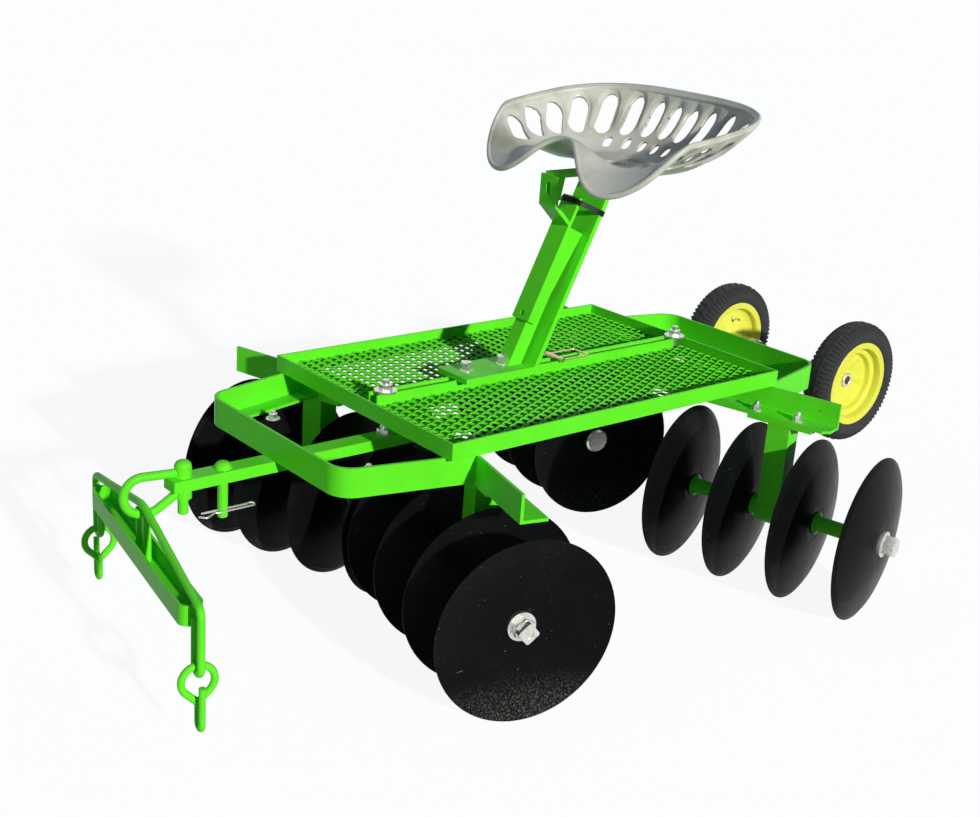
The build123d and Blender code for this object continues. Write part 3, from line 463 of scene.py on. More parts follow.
class Shape:
    """Points and quads of one piece in millimetres, gathered from lattices."""

    DEPTH = "depth"

    def __init__(self) -> None:
        """Start with nothing."""
        self.points: list[np.ndarray] = []
        self.depths: list[np.ndarray] = []
        self.quads: list[np.ndarray] = []
        self.count = 0

    def lattice(
        self,
        grid: np.ndarray,
        loop_rows: bool = False,
        loop_columns: bool = False,
        keep: Optional[np.ndarray] = None,
        depth: Any = 0.0,
    ) -> "Shape":
        """Add a lattice: each quad joins a point with the next of its row and of its column.

        Args:
            grid: Points in rows and columns.
            loop_rows: Whether the last row joins the first.
            loop_columns: Whether the last column joins the first.
            keep: Marks points; a quad with no marked point is left out.
            depth: How deep each point lies, from 0 to 1, for finishes that paint shade there.

        Returns:
            This shape.
        """
        rows, columns = grid.shape[:2]
        index = np.arange(rows * columns).reshape(rows, columns) + self.count
        row, column = np.meshgrid(
            np.arange(rows - (not loop_rows)), np.arange(columns - (not loop_columns)), indexing="ij"
        )
        below, beside = (row + 1) % rows, (column + 1) % columns
        quads = np.stack((index[row, column], index[below, column], index[below, beside], index[row, beside]), -1)
        quads = quads.reshape(-1, 4)
        if keep is not None:
            quads = quads[keep.reshape(-1)[quads - self.count].any(-1)]
        self.points.append(grid.reshape(-1, 3))
        self.depths.append(np.broadcast_to(depth, (rows, columns)).reshape(-1))
        self.quads.append(quads)
        self.count += rows * columns
        return self

    def build(self, name: str, finish: Finish, body: str, slot: str, crease: float = 38.0) -> bpy.types.Object:
        """Make the mesh object, with poles merged and normals outward.

        Args:
            name: The piece's name.
            finish: Its finish.
            body: The CAD body that it rides on.
            slot: The record's material slot; not used.
            crease: Edges that turn more than this many degrees stay sharp.

        Returns:
            The object.
        """
        mesh = bpy.data.meshes.new(name)
        mesh.from_pydata((np.concatenate(self.points) * MM).tolist(), [], np.concatenate(self.quads).tolist())
        deep = mesh.attributes.new(self.DEPTH, "FLOAT", "POINT")
        deep.data.foreach_set("value", np.concatenate(self.depths).astype(np.float32))
        work = bmesh.new()
        work.from_mesh(mesh)
        bmesh.ops.remove_doubles(work, verts=work.verts, dist=1e-6)
        bmesh.ops.dissolve_degenerate(work, edges=work.edges, dist=1e-7)
        bmesh.ops.recalc_face_normals(work, faces=work.faces)
        work.to_mesh(mesh)
        work.free()
        mesh.polygons.foreach_set("use_smooth", np.ones(len(mesh.polygons), bool))
        mesh.set_sharp_from_angle(angle=math.radians(crease))
        piece = bpy.data.objects.new(name, mesh)
        bpy.context.scene.collection.objects.link(piece)
        dress(piece, finish)
        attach(piece, body)
        LOG.info("%s: %d faces", name, len(mesh.polygons))
        return piece


def cad_box(node: str) -> tuple[np.ndarray, np.ndarray]:
    """A CAD node's lowest and highest corner in millimetres."""
    low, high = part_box(node)
    return np.array(low) / MM, np.array(high) / MM


@dataclass
class DeckMesh:
    """Raised expanded mesh in both halves of the deck."""

    slot_half: float = 17.6
    long_pitch: float = 50.8
    strands: int = 27
    strand_width: float = 7.4
    strand_thickness: float = 2.0
    tilt: float = math.radians(-57)
    # depth is 1 on each strand's lower edge, where the mesh paint puts painted shade
    depth: tuple[float, ...] = (1.0, 0.0, 0.0, 1.0)
    bond: float = 0.13
    steps: int = 12

    def strand(self, lane: float, turned: bool, pitch: float, along: np.ndarray, base: float) -> np.ndarray:
        """One strand.

        It swings across its lane by a flattened triangle wave of the way along, and every second one is turned
        over, so that neighbours meet at the bonds. Its height follows the swing, since each bond is tilted.

        Args:
            lane: Middle of its lane across the deck.
            turned: Whether its wave is turned over.
            pitch: Width of a lane.
            along: Places along the deck.
            base: Height of the mesh's underside.

        Returns:
            A lattice closed at both ends.
        """
        width, thick = self.strand_width, self.strand_thickness
        wave = np.abs(np.mod(2 * along / self.long_pitch, 2) - 1)
        wave = np.clip((wave - self.bond) / (1 - 2 * self.bond), 0, 1) * 2 - 1
        wave = -wave if turned else wave
        swing = (pitch - 0.9 * width * math.cos(self.tilt)) / 2
        lift = width * math.sin(self.tilt) / 2
        middle = base + 2 * abs(lift) + thick * math.cos(self.tilt) / 2
        spine = np.stack((lane + swing * wave, along, middle + lift * wave), -1)
        corner = np.array([[-1, -1], [1, -1], [1, 1], [-1, 1]]) * (width / 2, thick / 2)
        turn = np.array([[math.cos(self.tilt), -math.sin(self.tilt)], [math.sin(self.tilt), math.cos(self.tilt)]])
        section = corner @ turn
        offset = np.stack((section[:, 0], np.zeros(4), section[:, 1]), -1)
        grid = spine[:, None] + offset[None]
        ends = np.repeat(spine[[0, -1], None], 4, axis=1)
        return np.concatenate((ends[:1], grid, ends[1:]))

    def build(self) -> None:
        """Lay the strands in both halves and hide the plain mesh."""
        low, high = cad_box("deck_mesh")
        pitch = (high[0] - self.slot_half) / self.strands
        count = int((high[1] - low[1]) / self.long_pitch * self.steps)
        along = np.linspace(low[1], high[1], count)
        shape = Shape()
        for side in (-1, 1):
            for k in range(self.strands):
                lane = side * (self.slot_half + (k + 0.5) * pitch)
                turned = bool(k % 2) if side > 0 else not k % 2
                # each strand's depth values put painted shade on its lower edge
                shape.lattice(self.strand(lane, turned, pitch, along, low[2]), loop_columns=True, depth=self.depth)
        piece = shape.build("expanded_mesh", Finish.MESH, "frame", "green_paint")
        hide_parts("deck_mesh")


@dataclass
class Bolt:
    """One plated bolt with its washer."""

    place: tuple[float, float, float]
    flats: float = 19.0
    head: float = 12.0
    washer: float = 16.0
    washer_thickness: float = 2.5
    stud: float = 0.0

    def add(self, shape: Shape) -> None:
        """Add the washer, the chamfered hexagon and the stud's end, each turned about the upright.

        Args:
            shape: The shape that gathers the bolts.
        """
        corner = self.flats / math.sqrt(3)
        low, top = self.washer_thickness, self.washer_thickness + self.head
        rim = self.washer
        washer = [(0, 0), (rim, 0), (rim, low - 0.6), (rim - 0.6, low), (0, low)]
        head = [(0, low), (corner, low), (corner, top - 1.5), (corner * 0.86, top), (0, top)]
        shape.lattice(revolve(washer, self.place, (0, 0, 1), 32), loop_rows=True)
        shape.lattice(revolve(head, self.place, (0, 0, 1), 6), loop_rows=True)
        if self.stud:
            radius = self.flats * 0.33
            turns = np.arange(12)
            thread = np.stack((radius - 0.7 * (turns % 2), top + turns * self.stud / 12), -1)
            tip = [(radius - 1.5, top + self.stud), (0, top + self.stud)]
            stud = np.concatenate(([(0, top)], thread, tip))
            shape.lattice(revolve(stud, self.place, (0, 0, 1), 16), loop_rows=True)


@dataclass
class Fasteners:
    """Plated bolts on the seat's base, the frame's flanges and the gang standards."""

    seat_bolts: tuple[float, ...] = (42.0, 150.0)
    seat_bar_thickness: float = 12.7
    leg_top: float = 448.5
    front_bolts: tuple[float, float] = (187.0, -625.0)
    front_gang: tuple[float, float] = (310.1, -416.4)
    front_angle: float = math.radians(-15)
    rear_gang: tuple[float, float] = (381.0, 459.0)
    rear_angle: float = math.radians(14)
    spacing: float = 111.0

    def gang_bolts(self, middle: tuple[float, float], angle: float) -> list[Bolt]:
        """The four bolts of a pair of standards, either side of each standard's middle along its beam.

        Args:
            middle: Middle of the left standard.
            angle: How far its beam is turned.

        Returns:
            The bolts.
        """
        bolts = []
        for side in (-1, 1):
            for end in (-0.5, 0.5):
                x = middle[0] + end * self.spacing * math.cos(angle)
                y = middle[1] + end * self.spacing * math.sin(angle)
                bolts.append(Bolt((side * x, y, self.leg_top), stud=9.0))
        return bolts

    def build(self) -> None:
        """Make all of them as one piece."""
        front = cad_box("seat_bar")[0][1]
        top = cad_box("deck_rim")[1][2] + self.seat_bar_thickness
        bolts = [
            Bolt((0.0, front + run, top), flats=24, head=19, washer=15, washer_thickness=3)
            for run in self.seat_bolts
        ]
        bolts += self.gang_bolts(self.front_gang, self.front_angle)
        bolts += self.gang_bolts(self.rear_gang, self.rear_angle)
        x, y = self.front_bolts
        bolts += [Bolt((side * x, y, self.leg_top), stud=6.0) for side in (-1, 1)]
        shape = Shape()
        for bolt in bolts:
            bolt.add(shape)
        shape.build("plated_bolts", Finish.ZINC, "frame", "zinc_steel", crease=25)


@dataclass
class RoadWheel:
    """Tyre with cut shoulders and a pressed rim, on one wheel."""

    side: int
    ribs: int = 76
    rib_steps: int = 8
    rib_depth: float = 4.4
    groove_depth: float = 3.0
    roundness: tuple[float, float] = (0.85, 0.9)
    shoulder: tuple[float, float, float, float] = (0.42, 0.12, 1.15, 0.35)
    crown: tuple[float, float] = (0.40, 0.06)
    groove: tuple[float, float] = (0.41, 0.05)
    pip: tuple[float, float] = (0.52, 0.035)
    pip_height: float = 1.2
    across: int = 56
    widest: float = 135.6
    bead_turn: float = 2.32
    bead_height: float = 30.0
    hub_face: float = -11.0
    hub_length: float = 76.0
    hub_radius: float = 25.0
    bore: float = 13.4
    sheet: float = 3.5
    rays: int = 5
    ray_height: float = 4.5
    rim_steps: int = 240
    valve_place: tuple[float, float] = (-9.0, 66.0)
    cap_face: float = -5.7
    cap_ring: tuple[float, float] = (11.5, 19.5)

    def __post_init__(self) -> None:
        """Take the wheel's name, middle and size from its tyre."""
        self.name = "left" if self.side > 0 else "right"
        low, high = cad_box(f"{self.name}_tyre")
        self.middle = (low + high) / 2
        self.radius = (high[2] - low[2]) / 2
        self.half_width = (high[0] - low[0]) / 2

    def spin(self, along: np.ndarray, radius: np.ndarray, turn: np.ndarray) -> np.ndarray:
        """Points at a way out along the axle, a radius and an angle.

        Args:
            along: Way outward from the wheel's middle.
            radius: Distance from the axle.
            turn: Angle about the axle.

        Returns:
            The points.
        """
        spot = np.stack((self.side * along, radius * np.cos(turn), radius * np.sin(turn)), -1)
        return self.middle + spot

    def tyre(self) -> None:
        """Make the tyre.

        Its section is a rounded oval: the way across is half the width times a power of the sine of p, and the
        radius is that of the widest place plus a height times a power of the cosine of p. Ribs are cut across
        the shoulders by a sharpened cosine of the angle, and the crown has two grooves round it and slanted cuts.
        """
        p = np.linspace(-self.bead_turn, self.bead_turn, self.across)[None, :]
        turn = (np.arange(self.ribs * self.rib_steps) * 2 * np.pi / (self.ribs * self.rib_steps))[:, None]
        height = np.where(np.cos(p) > 0, self.radius - self.widest, self.bead_height)
        along = self.half_width * np.sign(np.sin(p)) * np.abs(np.sin(p)) ** self.roundness[0]
        radius = self.widest + height * np.sign(np.cos(p)) * np.abs(np.cos(p)) ** self.roundness[1]
        slant = np.abs(p)
        start, rise, stop, fall = self.shoulder
        shoulder = ease((slant - start) / rise) * (1 - ease((slant - stop) / fall))
        rib = ease(0.5 + 0.9 * np.cos(self.ribs * turn + 1.6 * np.sin(p)))
        crown = 1 - ease((slant - self.crown[0]) / self.crown[1])
        cut = ease(0.5 - 1.4 * np.cos(self.ribs / 2 * turn + 5.0 * np.sign(p) * slant))
        place, wide = self.groove
        groove = np.exp(-(((slant - place) / wide) ** 2)) + np.exp(-((p / wide) ** 2))
        carved = np.clip(groove + crown * cut * 0.8, 0, 1)
        place, wide = self.pip
        pips = np.exp(-(((slant - place) / wide) ** 2)) * ease(3 * np.cos(self.ribs * turn) - 2)
        depth = self.rib_depth * shoulder * (1 - rib) + self.groove_depth * carved - self.pip_height * pips
        scale = 1 - depth / self.radius
        grid = self.spin(along * (1 - 0.6 * depth / self.half_width) + 0 * turn, radius * scale, turn + 0 * p)
        # the depth also sets the painted shade in the grooves
        shape = Shape().lattice(grid, True, True, depth=np.clip(depth / self.rib_depth, 0, 1))
        piece = shape.build(f"{self.name}_road_tyre", Finish.RUBBER, f"{self.name}_wheel", "tyre_rubber", 60)
        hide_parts(f"{self.name}_tyre")

    def rim_profile(self) -> tuple[np.ndarray, np.ndarray]:
        """The rim's closed profile, from the outer lip over the web, hub and barrel back to the lip.

        Returns:
            Ways along the axle and radii.
        """
        lip, bead = 117.0, 101.0
        outer = [(30.5, lip), (32, 114.5), (31.5, 111), (30, 99.5), (27, 97.2), (13, 95.5), (10.5, 93), (9.5, 82),
                 (7.5, 79.5), (-1, 77.5), (-4, 75), (-5.5, 68), (-7.5, 52), (-9.5, 38), (-10.5, 30),
                 (self.hub_face, 26),
                 (self.hub_face, self.bore)]
        tube_end = self.hub_face - self.hub_length
        inner = [(tube_end, self.bore), (tube_end, self.hub_radius), (self.hub_face - 6, self.hub_radius)]
        inner += [(a - self.sheet, r - 0.2) for a, r in outer[14:9:-1]]
        inner += [(-7, 79.0), (-9, 90), (-14, 95.5), (-27, 97.2), (-30, 99.5), (-31.5, 111), (-32, 114.5)]
        inner += [(-30.5, lip)]
        seat = [(-28, 115.5), (-27.5, bead + 1), (-24, bead), (24, bead), (27.5, bead + 1), (28, 115.5)]
        knots = np.array(outer + inner + seat)
        return knots[:, 0], knots[:, 1]

    def rim(self) -> None:
        """Make the pressed rim.

        Its profile is turned about the axle, with rays raised on the web by a sharpened cosine.
        """
        along, radius = self.rim_profile()
        turn = (np.arange(self.rim_steps) * 2 * np.pi / self.rim_steps)[:, None]
        web = ease((radius - 27) / 12) * (1 - ease((radius - 60) / 16)) * (np.abs(along + 9) < 9)
        ray = np.clip(np.cos(self.rays * turn + 0.6), 0, 1) ** 3
        grid = self.spin(along + self.ray_height * web * ray, radius + 0 * turn, turn + 0 * along)
        shape = Shape().lattice(grid, True, True)
        piece = shape.build(f"{self.name}_pressed_rim", Finish.YELLOW, f"{self.name}_wheel", "yellow_paint", 32)
        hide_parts(f"{self.name}_rim")

    def valve(self) -> None:
        """The valve's stem on the inside of the web, turned about its own axis."""
        start = self.middle + (self.side * self.valve_place[0], 0, self.valve_place[1])
        stem = [(0, 0), (5.5, 0), (5.5, 9), (3.6, 10.5), (3.6, 24), (4.4, 24.5), (4.4, 32), (0, 32)]
        shape = Shape().lattice(revolve(stem, start, (-self.side, 0, 0), 16), loop_rows=True)
        shape.build(f"{self.name}_valve", Finish.ZINC, f"{self.name}_wheel", "zinc_steel")

    def axle_end(self) -> None:
        """The ring and the rusty bore on the axle's end: two profiles turned about the axle."""
        start = self.middle + (self.side * self.cap_face, 0, 0)
        small, large = self.cap_ring
        ring_profile = [(small, 0), (small, 1.6), (small + 1, 2.4), (large - 1, 2.4), (large, 1.6), (large, 0)]
        bore_profile = [(0, 0), (0, 0.5), (small, 0.5), (small, 0)]
        ends = (("ring", ring_profile, Finish.ZINC), ("bore", bore_profile, Finish.RUST))
        for part, profile, finish in ends:
            shape = Shape().lattice(revolve(profile, start, (self.side, 0, 0), 32), True, True)
            shape.build(f"{self.name}_axle_{part}", finish, "wheel_carrier", "zinc_steel")

    def build(self) -> None:
        """Make the tyre, the rim, the valve and the axle's end."""
        self.tyre()
        self.rim()
        self.valve()
        self.axle_end()


@dataclass
class Seat:
    """The cast seat: a shell with scalloped slots, a rolled rim and rings round its holes."""

    half_width: float = 322.0
    half_depth: float = 247.5
    squareness: float = 2.8
    floor_share: float = 0.42
    wall_curve: float = 1.55
    back_rise: float = 158.0
    side_rise: float = 118.0
    lobe_drop: float = 44.5
    lobe: tuple[float, float] = (0.35, 0.7)
    pommel_rise: float = 70.0
    pommel_width: float = 101.0
    pommel: tuple[float, float] = (0.1, 0.75)
    notch: float = 72.0
    wall: float = 11.0
    base_gap: float = 0.8
    slot_step: float = math.radians(15.3)
    slot_sets: tuple[tuple[int, float, float, float, int], ...] = (
        (16, 0.80, 0.118, 17.0, 1),
        (8, 0.58, 0.058, 10.5, 0),
    )
    slot_focus: float = -210.0
    side_swell: float = 0.28
    arch_gap: float = 5.0
    arch_step: float = 3.5
    arch_depth: float = 4.5
    shell_wall: float = 7.0
    round_steps: int = 480
    out_steps: int = 76
    rim_radius: float = 7.0
    rim_inset: float = 4.0
    hole_ring: float = 26.0
    hole_radius: float = 17.0
    hole_offset: float = 26.0
    hole_spacing: float = 70.0

    def __post_init__(self) -> None:
        """Take the seat's middle and base from the CAD pieces."""
        low, high = cad_box("seat_pan")
        self.middle_y = (low[1] + high[1]) / 2
        self.base = cad_box("seat_bracket")[1][2] + self.base_gap

    def reach(self, x: np.ndarray, y: np.ndarray) -> np.ndarray:
        """Share of the way from the middle to the outline: a rounded square's norm."""
        power = self.squareness
        return ((np.abs(x) / self.half_width) ** power + (np.abs(y) / self.half_depth) ** power) ** (1 / power)

    def surface(self, x: np.ndarray, y: np.ndarray) -> np.ndarray:
        """Points on the seat's upper face.

        The height is a wall that grows as a power of the reach, up to a rim that rises to the back, less the drop
        of the front lobes, plus a ridge with a bell-shaped section for the pommel.

        Args:
            x: Way across.
            y: Way back from the seat's middle.

        Returns:
            The points.
        """
        forward = -y / self.half_depth
        share = np.clip((self.reach(x, y) - self.floor_share) / (1 - self.floor_share), 0, None)
        rim = self.side_rise - (self.back_rise - self.side_rise) * forward
        lobe = ease((forward - self.lobe[0]) / self.lobe[1])
        ridge = np.exp(-((x / self.pommel_width) ** 2)) * ease((forward - self.pommel[0]) / self.pommel[1])
        height = share**self.wall_curve * ((1 - lobe) * rim - lobe * self.lobe_drop) + self.pommel_rise * ridge
        return np.stack((x, self.middle_y + y, self.base + self.wall + height), -1)

    def normal(self, x: np.ndarray, y: np.ndarray) -> np.ndarray:
        """Normals of the upper face, from small steps across and along it."""
        step = 0.5
        across = self.surface(x + step, y) - self.surface(x - step, y)
        back = self.surface(x, y + step) - self.surface(x, y - step)
        return unit(np.cross(across, back))

    def outline(self, turn: np.ndarray) -> tuple[np.ndarray, np.ndarray]:
        """The seat's outline: a rounded square with a bell-shaped notch in front.

        Args:
            turn: Angles round the seat.

        Returns:
            Ways across and back.
        """
        power = 2 / self.squareness
        x = self.half_width * np.sign(np.cos(turn)) * np.abs(np.cos(turn)) ** power
        y = self.half_depth * np.sign(np.sin(turn)) * np.abs(np.sin(turn)) ** power
        return x, y + np.where(y < 0, self.notch * np.exp(-((x / self.pommel_width) ** 2)), 0)

    def slot_rows(self) -> np.ndarray:
        """Every slot's middle, outward direction, half length and half width, one row a slot.

        The slots stand at equal angles round the back and point away from a place in front of the seat. The two
        round holes in the floor are slots no longer than they are wide.

        Returns:
            Rows of middle x and y, direction x and y, half length, half width and whether it is in the outer row.
        """
        rows = []
        for count, share, half, width, outer in self.slot_sets:
            turn = (np.arange(count) - (count - 1) / 2) * self.slot_step
            way = np.stack((np.sin(turn), np.cos(turn)), -1)
            room = 1 / self.reach(way[:, 0], way[:, 1])
            spot = way * share * room[:, None]
            way = unit(spot - (0.0, self.slot_focus))
            fixed = np.ones_like(turn)
            swell = 1 + outer * self.side_swell * np.sin(turn) ** 2
            rows.append(np.stack((*spot.T, *way.T, half * room * swell, width * swell, outer * fixed), -1))
        for end in (-0.5, 0.5):
            middle = self.hole_offset + end * self.hole_spacing
            rows.append(np.array([[0, middle, 0, 1, self.hole_radius, self.hole_radius, 0]]))
        return np.concatenate(rows)

    def shell(self) -> None:
        """Make the seat's shell.

        A polar lattice reaches from the middle to the outline. Quads that lie wholly in a slot are dropped, and
        corners just inside a slot are moved out to its edge, which is at a distance from the slot's middle line
        of half its width. Over each outer slot the face is sunk a little, down to an arch round the slot's end.
        """
        turn = (np.arange(self.round_steps) * 2 * np.pi / self.round_steps)[:, None]
        share = np.linspace(0.0, 1.0, self.out_steps)[None, :]
        edge_x, edge_y = self.outline(turn)
        flat = np.stack((edge_x * share, edge_y * share), -1)
        slots = self.slot_rows()
        away = flat[:, :, None] - slots[:, :2]
        way = slots[:, 2:4]
        side = np.stack((way[:, 1], -way[:, 0]), -1)
        out, beside = (away * way).sum(-1), (away * side).sum(-1)
        core = np.sign(out) * np.clip(np.abs(out) - (slots[:, 4] - slots[:, 5]), 0, None)
        span = np.hypot(core, beside)
        gap = span - slots[:, 5]
        nearest = gap.argmin(-1)[..., None]
        hole = np.take_along_axis(gap, nearest, -1)[..., 0]
        push = (core[..., None] * way + beside[..., None] * side) / np.maximum(span, 1e-6)[..., None]
        push = np.take_along_axis(push, nearest[..., None], 2)[:, :, 0]
        flat = flat - np.minimum(hole, 0)[..., None] * push
        sunk = (1 - ease((gap - self.arch_gap) / self.arch_step)) * ease(out / slots[:, 4] + 0.9) * slots[:, 6]
        x, y = flat[..., 0], flat[..., 1]
        grid = self.surface(x, y) - self.normal(x, y) * (self.arch_depth * sunk.max(-1))[..., None]
        piece = Shape().lattice(grid, loop_rows=True, keep=hole > 0).build(
            "seat_shell", Finish.SEAT, "frame", "cast_aluminium", crease=50
        )
        thick = piece.modifiers.new("wall", "SOLIDIFY")
        thick.thickness = self.shell_wall * MM
        thick.offset = -1
        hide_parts("seat_pan")

    def rolled_rim(self, shape: Shape) -> None:
        """Add the rim: a round section along the outline, drawn in by its inset.

        Args:
            shape: The shape that gathers the trim.
        """
        x, y = self.outline(np.arange(360) * 2 * np.pi / 360)
        inward = 1 - self.rim_inset / np.hypot(x, y)
        x, y = x * inward, y * inward
        path = self.surface(x, y) - (0, 0, self.rim_radius)
        shape.lattice(sweep(path, ring(14, self.rim_radius, self.rim_radius), self.normal(x, y), True), True, True)

    def hole_rings(self, shape: Shape) -> None:
        """Add a low ring round each of the two holes in the floor.

        Args:
            shape: The shape that gathers the trim.
        """
        flat = ring(48, self.hole_ring, self.hole_ring)
        for end in (-0.5, 0.5):
            x, y = flat[:, 0], flat[:, 1] + self.hole_offset + end * self.hole_spacing
            shape.lattice(sweep(self.surface(x, y), ring(8, 3.0, 1.4), self.normal(x, y), True), True, True)

    def build(self) -> None:
        """Make the shell, then the rim and the rings as one piece."""
        self.shell()
        shape = Shape()
        self.rolled_rim(shape)
        self.hole_rings(shape)
        shape.build("seat_trim", Finish.SEAT, "frame", "cast_aluminium", crease=60)


@dataclass
class PostStrap:
    """Black strap round the seat's post and fork."""

    lean: float = math.radians(25.4)
    base_length: float = 205.0
    bar_thickness: float = 12.7
    along_post: float = 395.0
    front: tuple[float, float] = (30.0, 60.0)
    back: tuple[float, float] = (57.0, -15.5)
    height: float = 12.0
    thickness: float = 2.6
    corner_cut: float = 0.15
    cuts: int = 3

    def build(self) -> None:
        """Make the strap: a flat section along a loop of six corners, rounded by repeated cuts of the corners."""
        foot = cad_box("seat_bar")[0][1] + self.base_length
        start = np.array((0, foot, cad_box("deck_rim")[1][2] + self.bar_thickness))
        up = np.array((0, math.sin(self.lean), math.cos(self.lean)))
        ahead = np.array((0, -math.cos(self.lean), math.sin(self.lean)))
        wide, deep = self.back
        narrow, near = self.front
        loop = np.array([self.front, (wide, 2), (wide, deep), (-wide, deep), (-wide, 2), (-narrow, near)])
        cut, keep = self.corner_cut, 1 - self.corner_cut
        for _ in range(self.cuts):
            after = np.roll(loop, -1, 0)
            loop = np.stack((keep * loop + cut * after, cut * loop + keep * after), 1).reshape(-1, 2)
        path = start + up * self.along_post + loop[:, :1] * np.array((1.0, 0, 0)) + loop[:, 1:] * ahead
        section = np.array([[-1, -1], [1, -1], [1, 1], [-1, 1]]) * (self.thickness / 2, self.height / 2)
        normal = np.broadcast_to(up, path.shape)
        shape = Shape().lattice(sweep(path, section, normal, True), True, True)
        shape.build("post_strap", Finish.STRAP, "frame", "tyre_rubber")


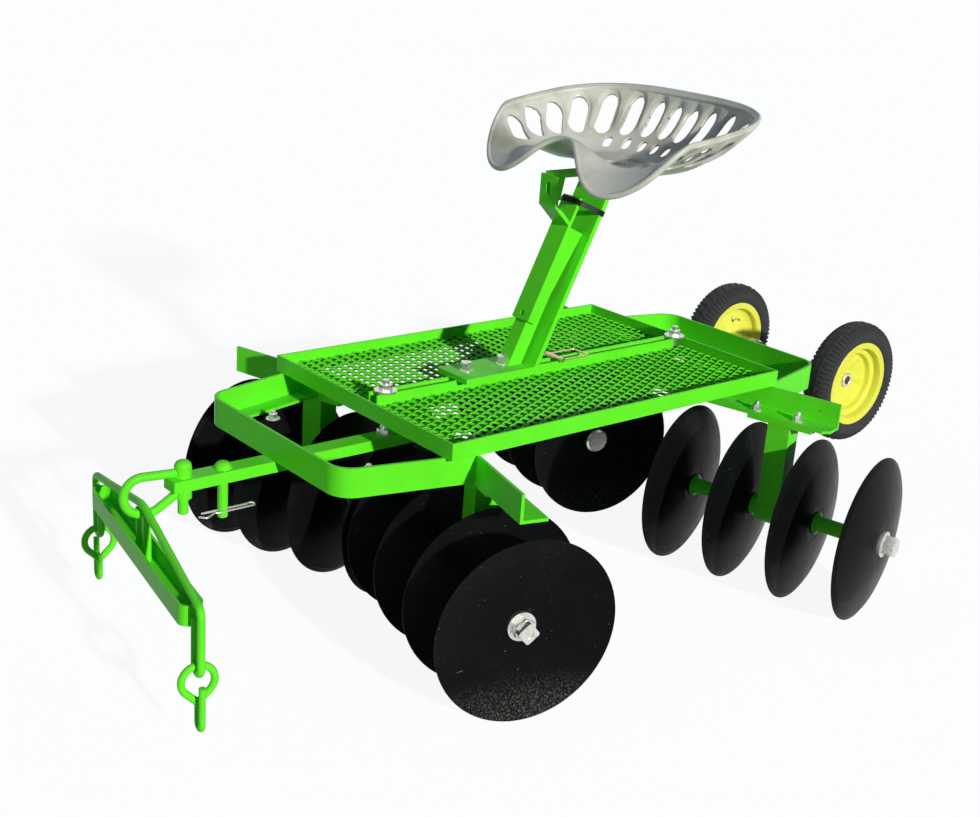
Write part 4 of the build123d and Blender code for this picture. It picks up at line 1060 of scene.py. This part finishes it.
@dataclass
class Studio:
    """Floor, lights and the camera at the photograph's view."""

    azimuth: float = 48.861
    elevation: float = 19.356
    roll: float = 4.217
    distance: float = 3.44112
    target: tuple[float, float, float] = (0.000337, -0.140679, 0.448643)
    focal: float = 1446.578
    frame_width: float = 980
    floor_half: float = 200.0
    floor_drop: float = 0.001
    floor_colour: Colour = (0.6, 0.6, 0.6)
    floor_glow: float = 0.75
    floor_shine: float = 1.22
    sky: Colour = (0.27, 0.52, 1.0)
    sky_strength: float = 0.18
    lamps: tuple[tuple[str, Colour, float, float], ...] = field(
        default=(("key", (0.94, -0.11, 0.32), 3.3, 2.0), ("fill", (-0.3, -0.9, 0.6), 0.12, 40.0))
    )

    def build(self) -> None:
        """Set up the whole studio."""
        self.camera()
        self.floor()
        self.world()
        self.lights()
        bpy.context.scene.view_settings.view_transform = "Standard"

    def camera(self) -> None:
        """Place the camera by azimuth, elevation and roll about its target."""
        a, e, r = (math.radians(v) for v in (self.azimuth, self.elevation, self.roll))
        back = Vector((math.sin(a) * math.cos(e), -math.cos(a) * math.cos(e), math.sin(e)))
        right = (-back).cross(Vector((0, 0, 1))).normalized()
        up = right.cross(-back)
        across = right * math.cos(r) + up * math.sin(r)
        above = up * math.cos(r) - right * math.sin(r)
        data = bpy.data.cameras.new("camera")
        data.sensor_fit = "HORIZONTAL"
        data.sensor_width = 36
        data.lens = self.focal * data.sensor_width / self.frame_width
        data.clip_end = 3 * self.floor_half
        camera = bpy.data.objects.new("camera", data)
        camera.matrix_world = Matrix((across, above, back)).transposed().to_4x4()
        camera.location = Vector(self.target) + back * self.distance
        bpy.context.scene.collection.objects.link(camera)
        bpy.context.scene.camera = camera

    def floor(self) -> None:
        """A pale floor that is nearly white to the camera and keeps a faint shadow."""
        mesh = bpy.data.meshes.new("floor")
        corners = np.array([[-1, -1, 0], [1, -1, 0], [1, 1, 0], [-1, 1, 0]]) * self.floor_half
        mesh.from_pydata(corners.tolist(), [], [(0, 1, 2, 3)])
        floor = bpy.data.objects.new("floor", mesh)
        floor.location.z = -self.floor_drop
        bpy.context.scene.collection.objects.link(floor)
        sheet = NodeSheet("pale_floor")
        paint = sheet.node("ShaderNodeBsdfDiffuse", inputs={"Color": rgba(self.floor_colour)})
        glow = sheet.node("ShaderNodeEmission", inputs={"Color": (1, 1, 1, 1), "Strength": self.floor_shine})
        seen = sheet.node("ShaderNodeLightPath", output="Is Camera Ray")
        mirrored = sheet.node("ShaderNodeLightPath", output="Is Glossy Ray")
        through = sheet.node("ShaderNodeLightPath", output="Is Transmission Ray")
        rays = seen + mirrored + through
        share = rays.math("MINIMUM", rays, 1.0) * self.floor_glow
        surface = sheet.node("ShaderNodeMixShader", inputs={0: share, 1: paint, 2: glow})
        out = sheet.tree.nodes.new("ShaderNodeOutputMaterial")
        sheet.tree.links.new(surface.socket, out.inputs["Surface"])
        mesh.materials.append(sheet.material)

    def world(self) -> None:
        """An even sky, white where the camera, a mirror or glass looks at it and pale blue as light."""
        world = bpy.data.worlds.new("sky")
        world.use_nodes = True
        tree = world.node_tree
        tree.nodes.clear()
        path = tree.nodes.new("ShaderNodeLightPath")
        seen = tree.nodes.new("ShaderNodeMath")
        seen.operation = "MAXIMUM"
        tree.links.new(path.outputs["Is Camera Ray"], seen.inputs[0])
        clear = tree.nodes.new("ShaderNodeMath")
        clear.operation = "MAXIMUM"
        tree.links.new(path.outputs["Is Glossy Ray"], clear.inputs[0])
        tree.links.new(path.outputs["Is Transmission Ray"], clear.inputs[1])
        tree.links.new(clear.outputs[0], seen.inputs[1])
        mixed = tree.nodes.new("ShaderNodeMixShader")
        tree.links.new(seen.outputs[0], mixed.inputs[0])
        for place, colour, strength in ((1, self.sky, self.sky_strength), (2, (1.0, 1.0, 1.0), 1.0)):
            glow = tree.nodes.new("ShaderNodeBackground")
            glow.inputs["Color"].default_value = (*colour, 1)
            glow.inputs["Strength"].default_value = strength
            tree.links.new(glow.outputs[0], mixed.inputs[place])
        out = tree.nodes.new("ShaderNodeOutputWorld")
        tree.links.new(mixed.outputs[0], out.inputs["Surface"])
        bpy.context.scene.world = world

    def lights(self) -> None:
        """A low key from the machine's left and a weak, broad fill from the front."""
        for name, way, power, angle in self.lamps:
            data = bpy.data.lights.new(name, "SUN")
            data.energy = power
            data.angle = math.radians(angle)
            lamp = bpy.data.objects.new(name, data)
            lamp.rotation_mode = "QUATERNION"
            lamp.rotation_quaternion = Vector(way).to_track_quat("Z", "Y")
            bpy.context.scene.collection.objects.link(lamp)


@dataclass
class Frame:
    """The CAD pieces, each with its finish."""

    zinc: tuple[str, ...] = ("deck_bolts", "pin_clip", "stub_axles")
    gold: tuple[str, ...] = ("lock_pin",)

    def dress(self) -> None:
        """Give every CAD node a finish by what it is."""
        for name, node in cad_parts.items():
            if name in self.zinc or name.endswith("_axle"):
                dress(node, Finish.ZINC)
            elif name in self.gold:
                dress(node, Finish.GOLD)
            elif name == "seat_pan":
                dress(node, Finish.SEAT)
            elif name.endswith("_discs"):
                dress(node, Finish.BLADE)
            elif name.endswith("_tyre"):
                dress(node, Finish.RUBBER)
            elif name in ("left_rim", "right_rim"):
                dress(node, Finish.YELLOW)
            else:
                dress(node, Finish.GREEN)


def main() -> None:
    """Build the machine and the studio."""
    logging.basicConfig(level=logging.INFO, format="%(name)s: %(message)s")
    Frame().dress()
    LOG.info("dressed %d CAD pieces", len(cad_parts))
    DeckMesh().build()
    Fasteners().build()
    for side in (1, -1):
        RoadWheel(side).build()
    Seat().build()
    PostStrap().build()
    Studio().build()


if __name__ == "__main__":
    main()
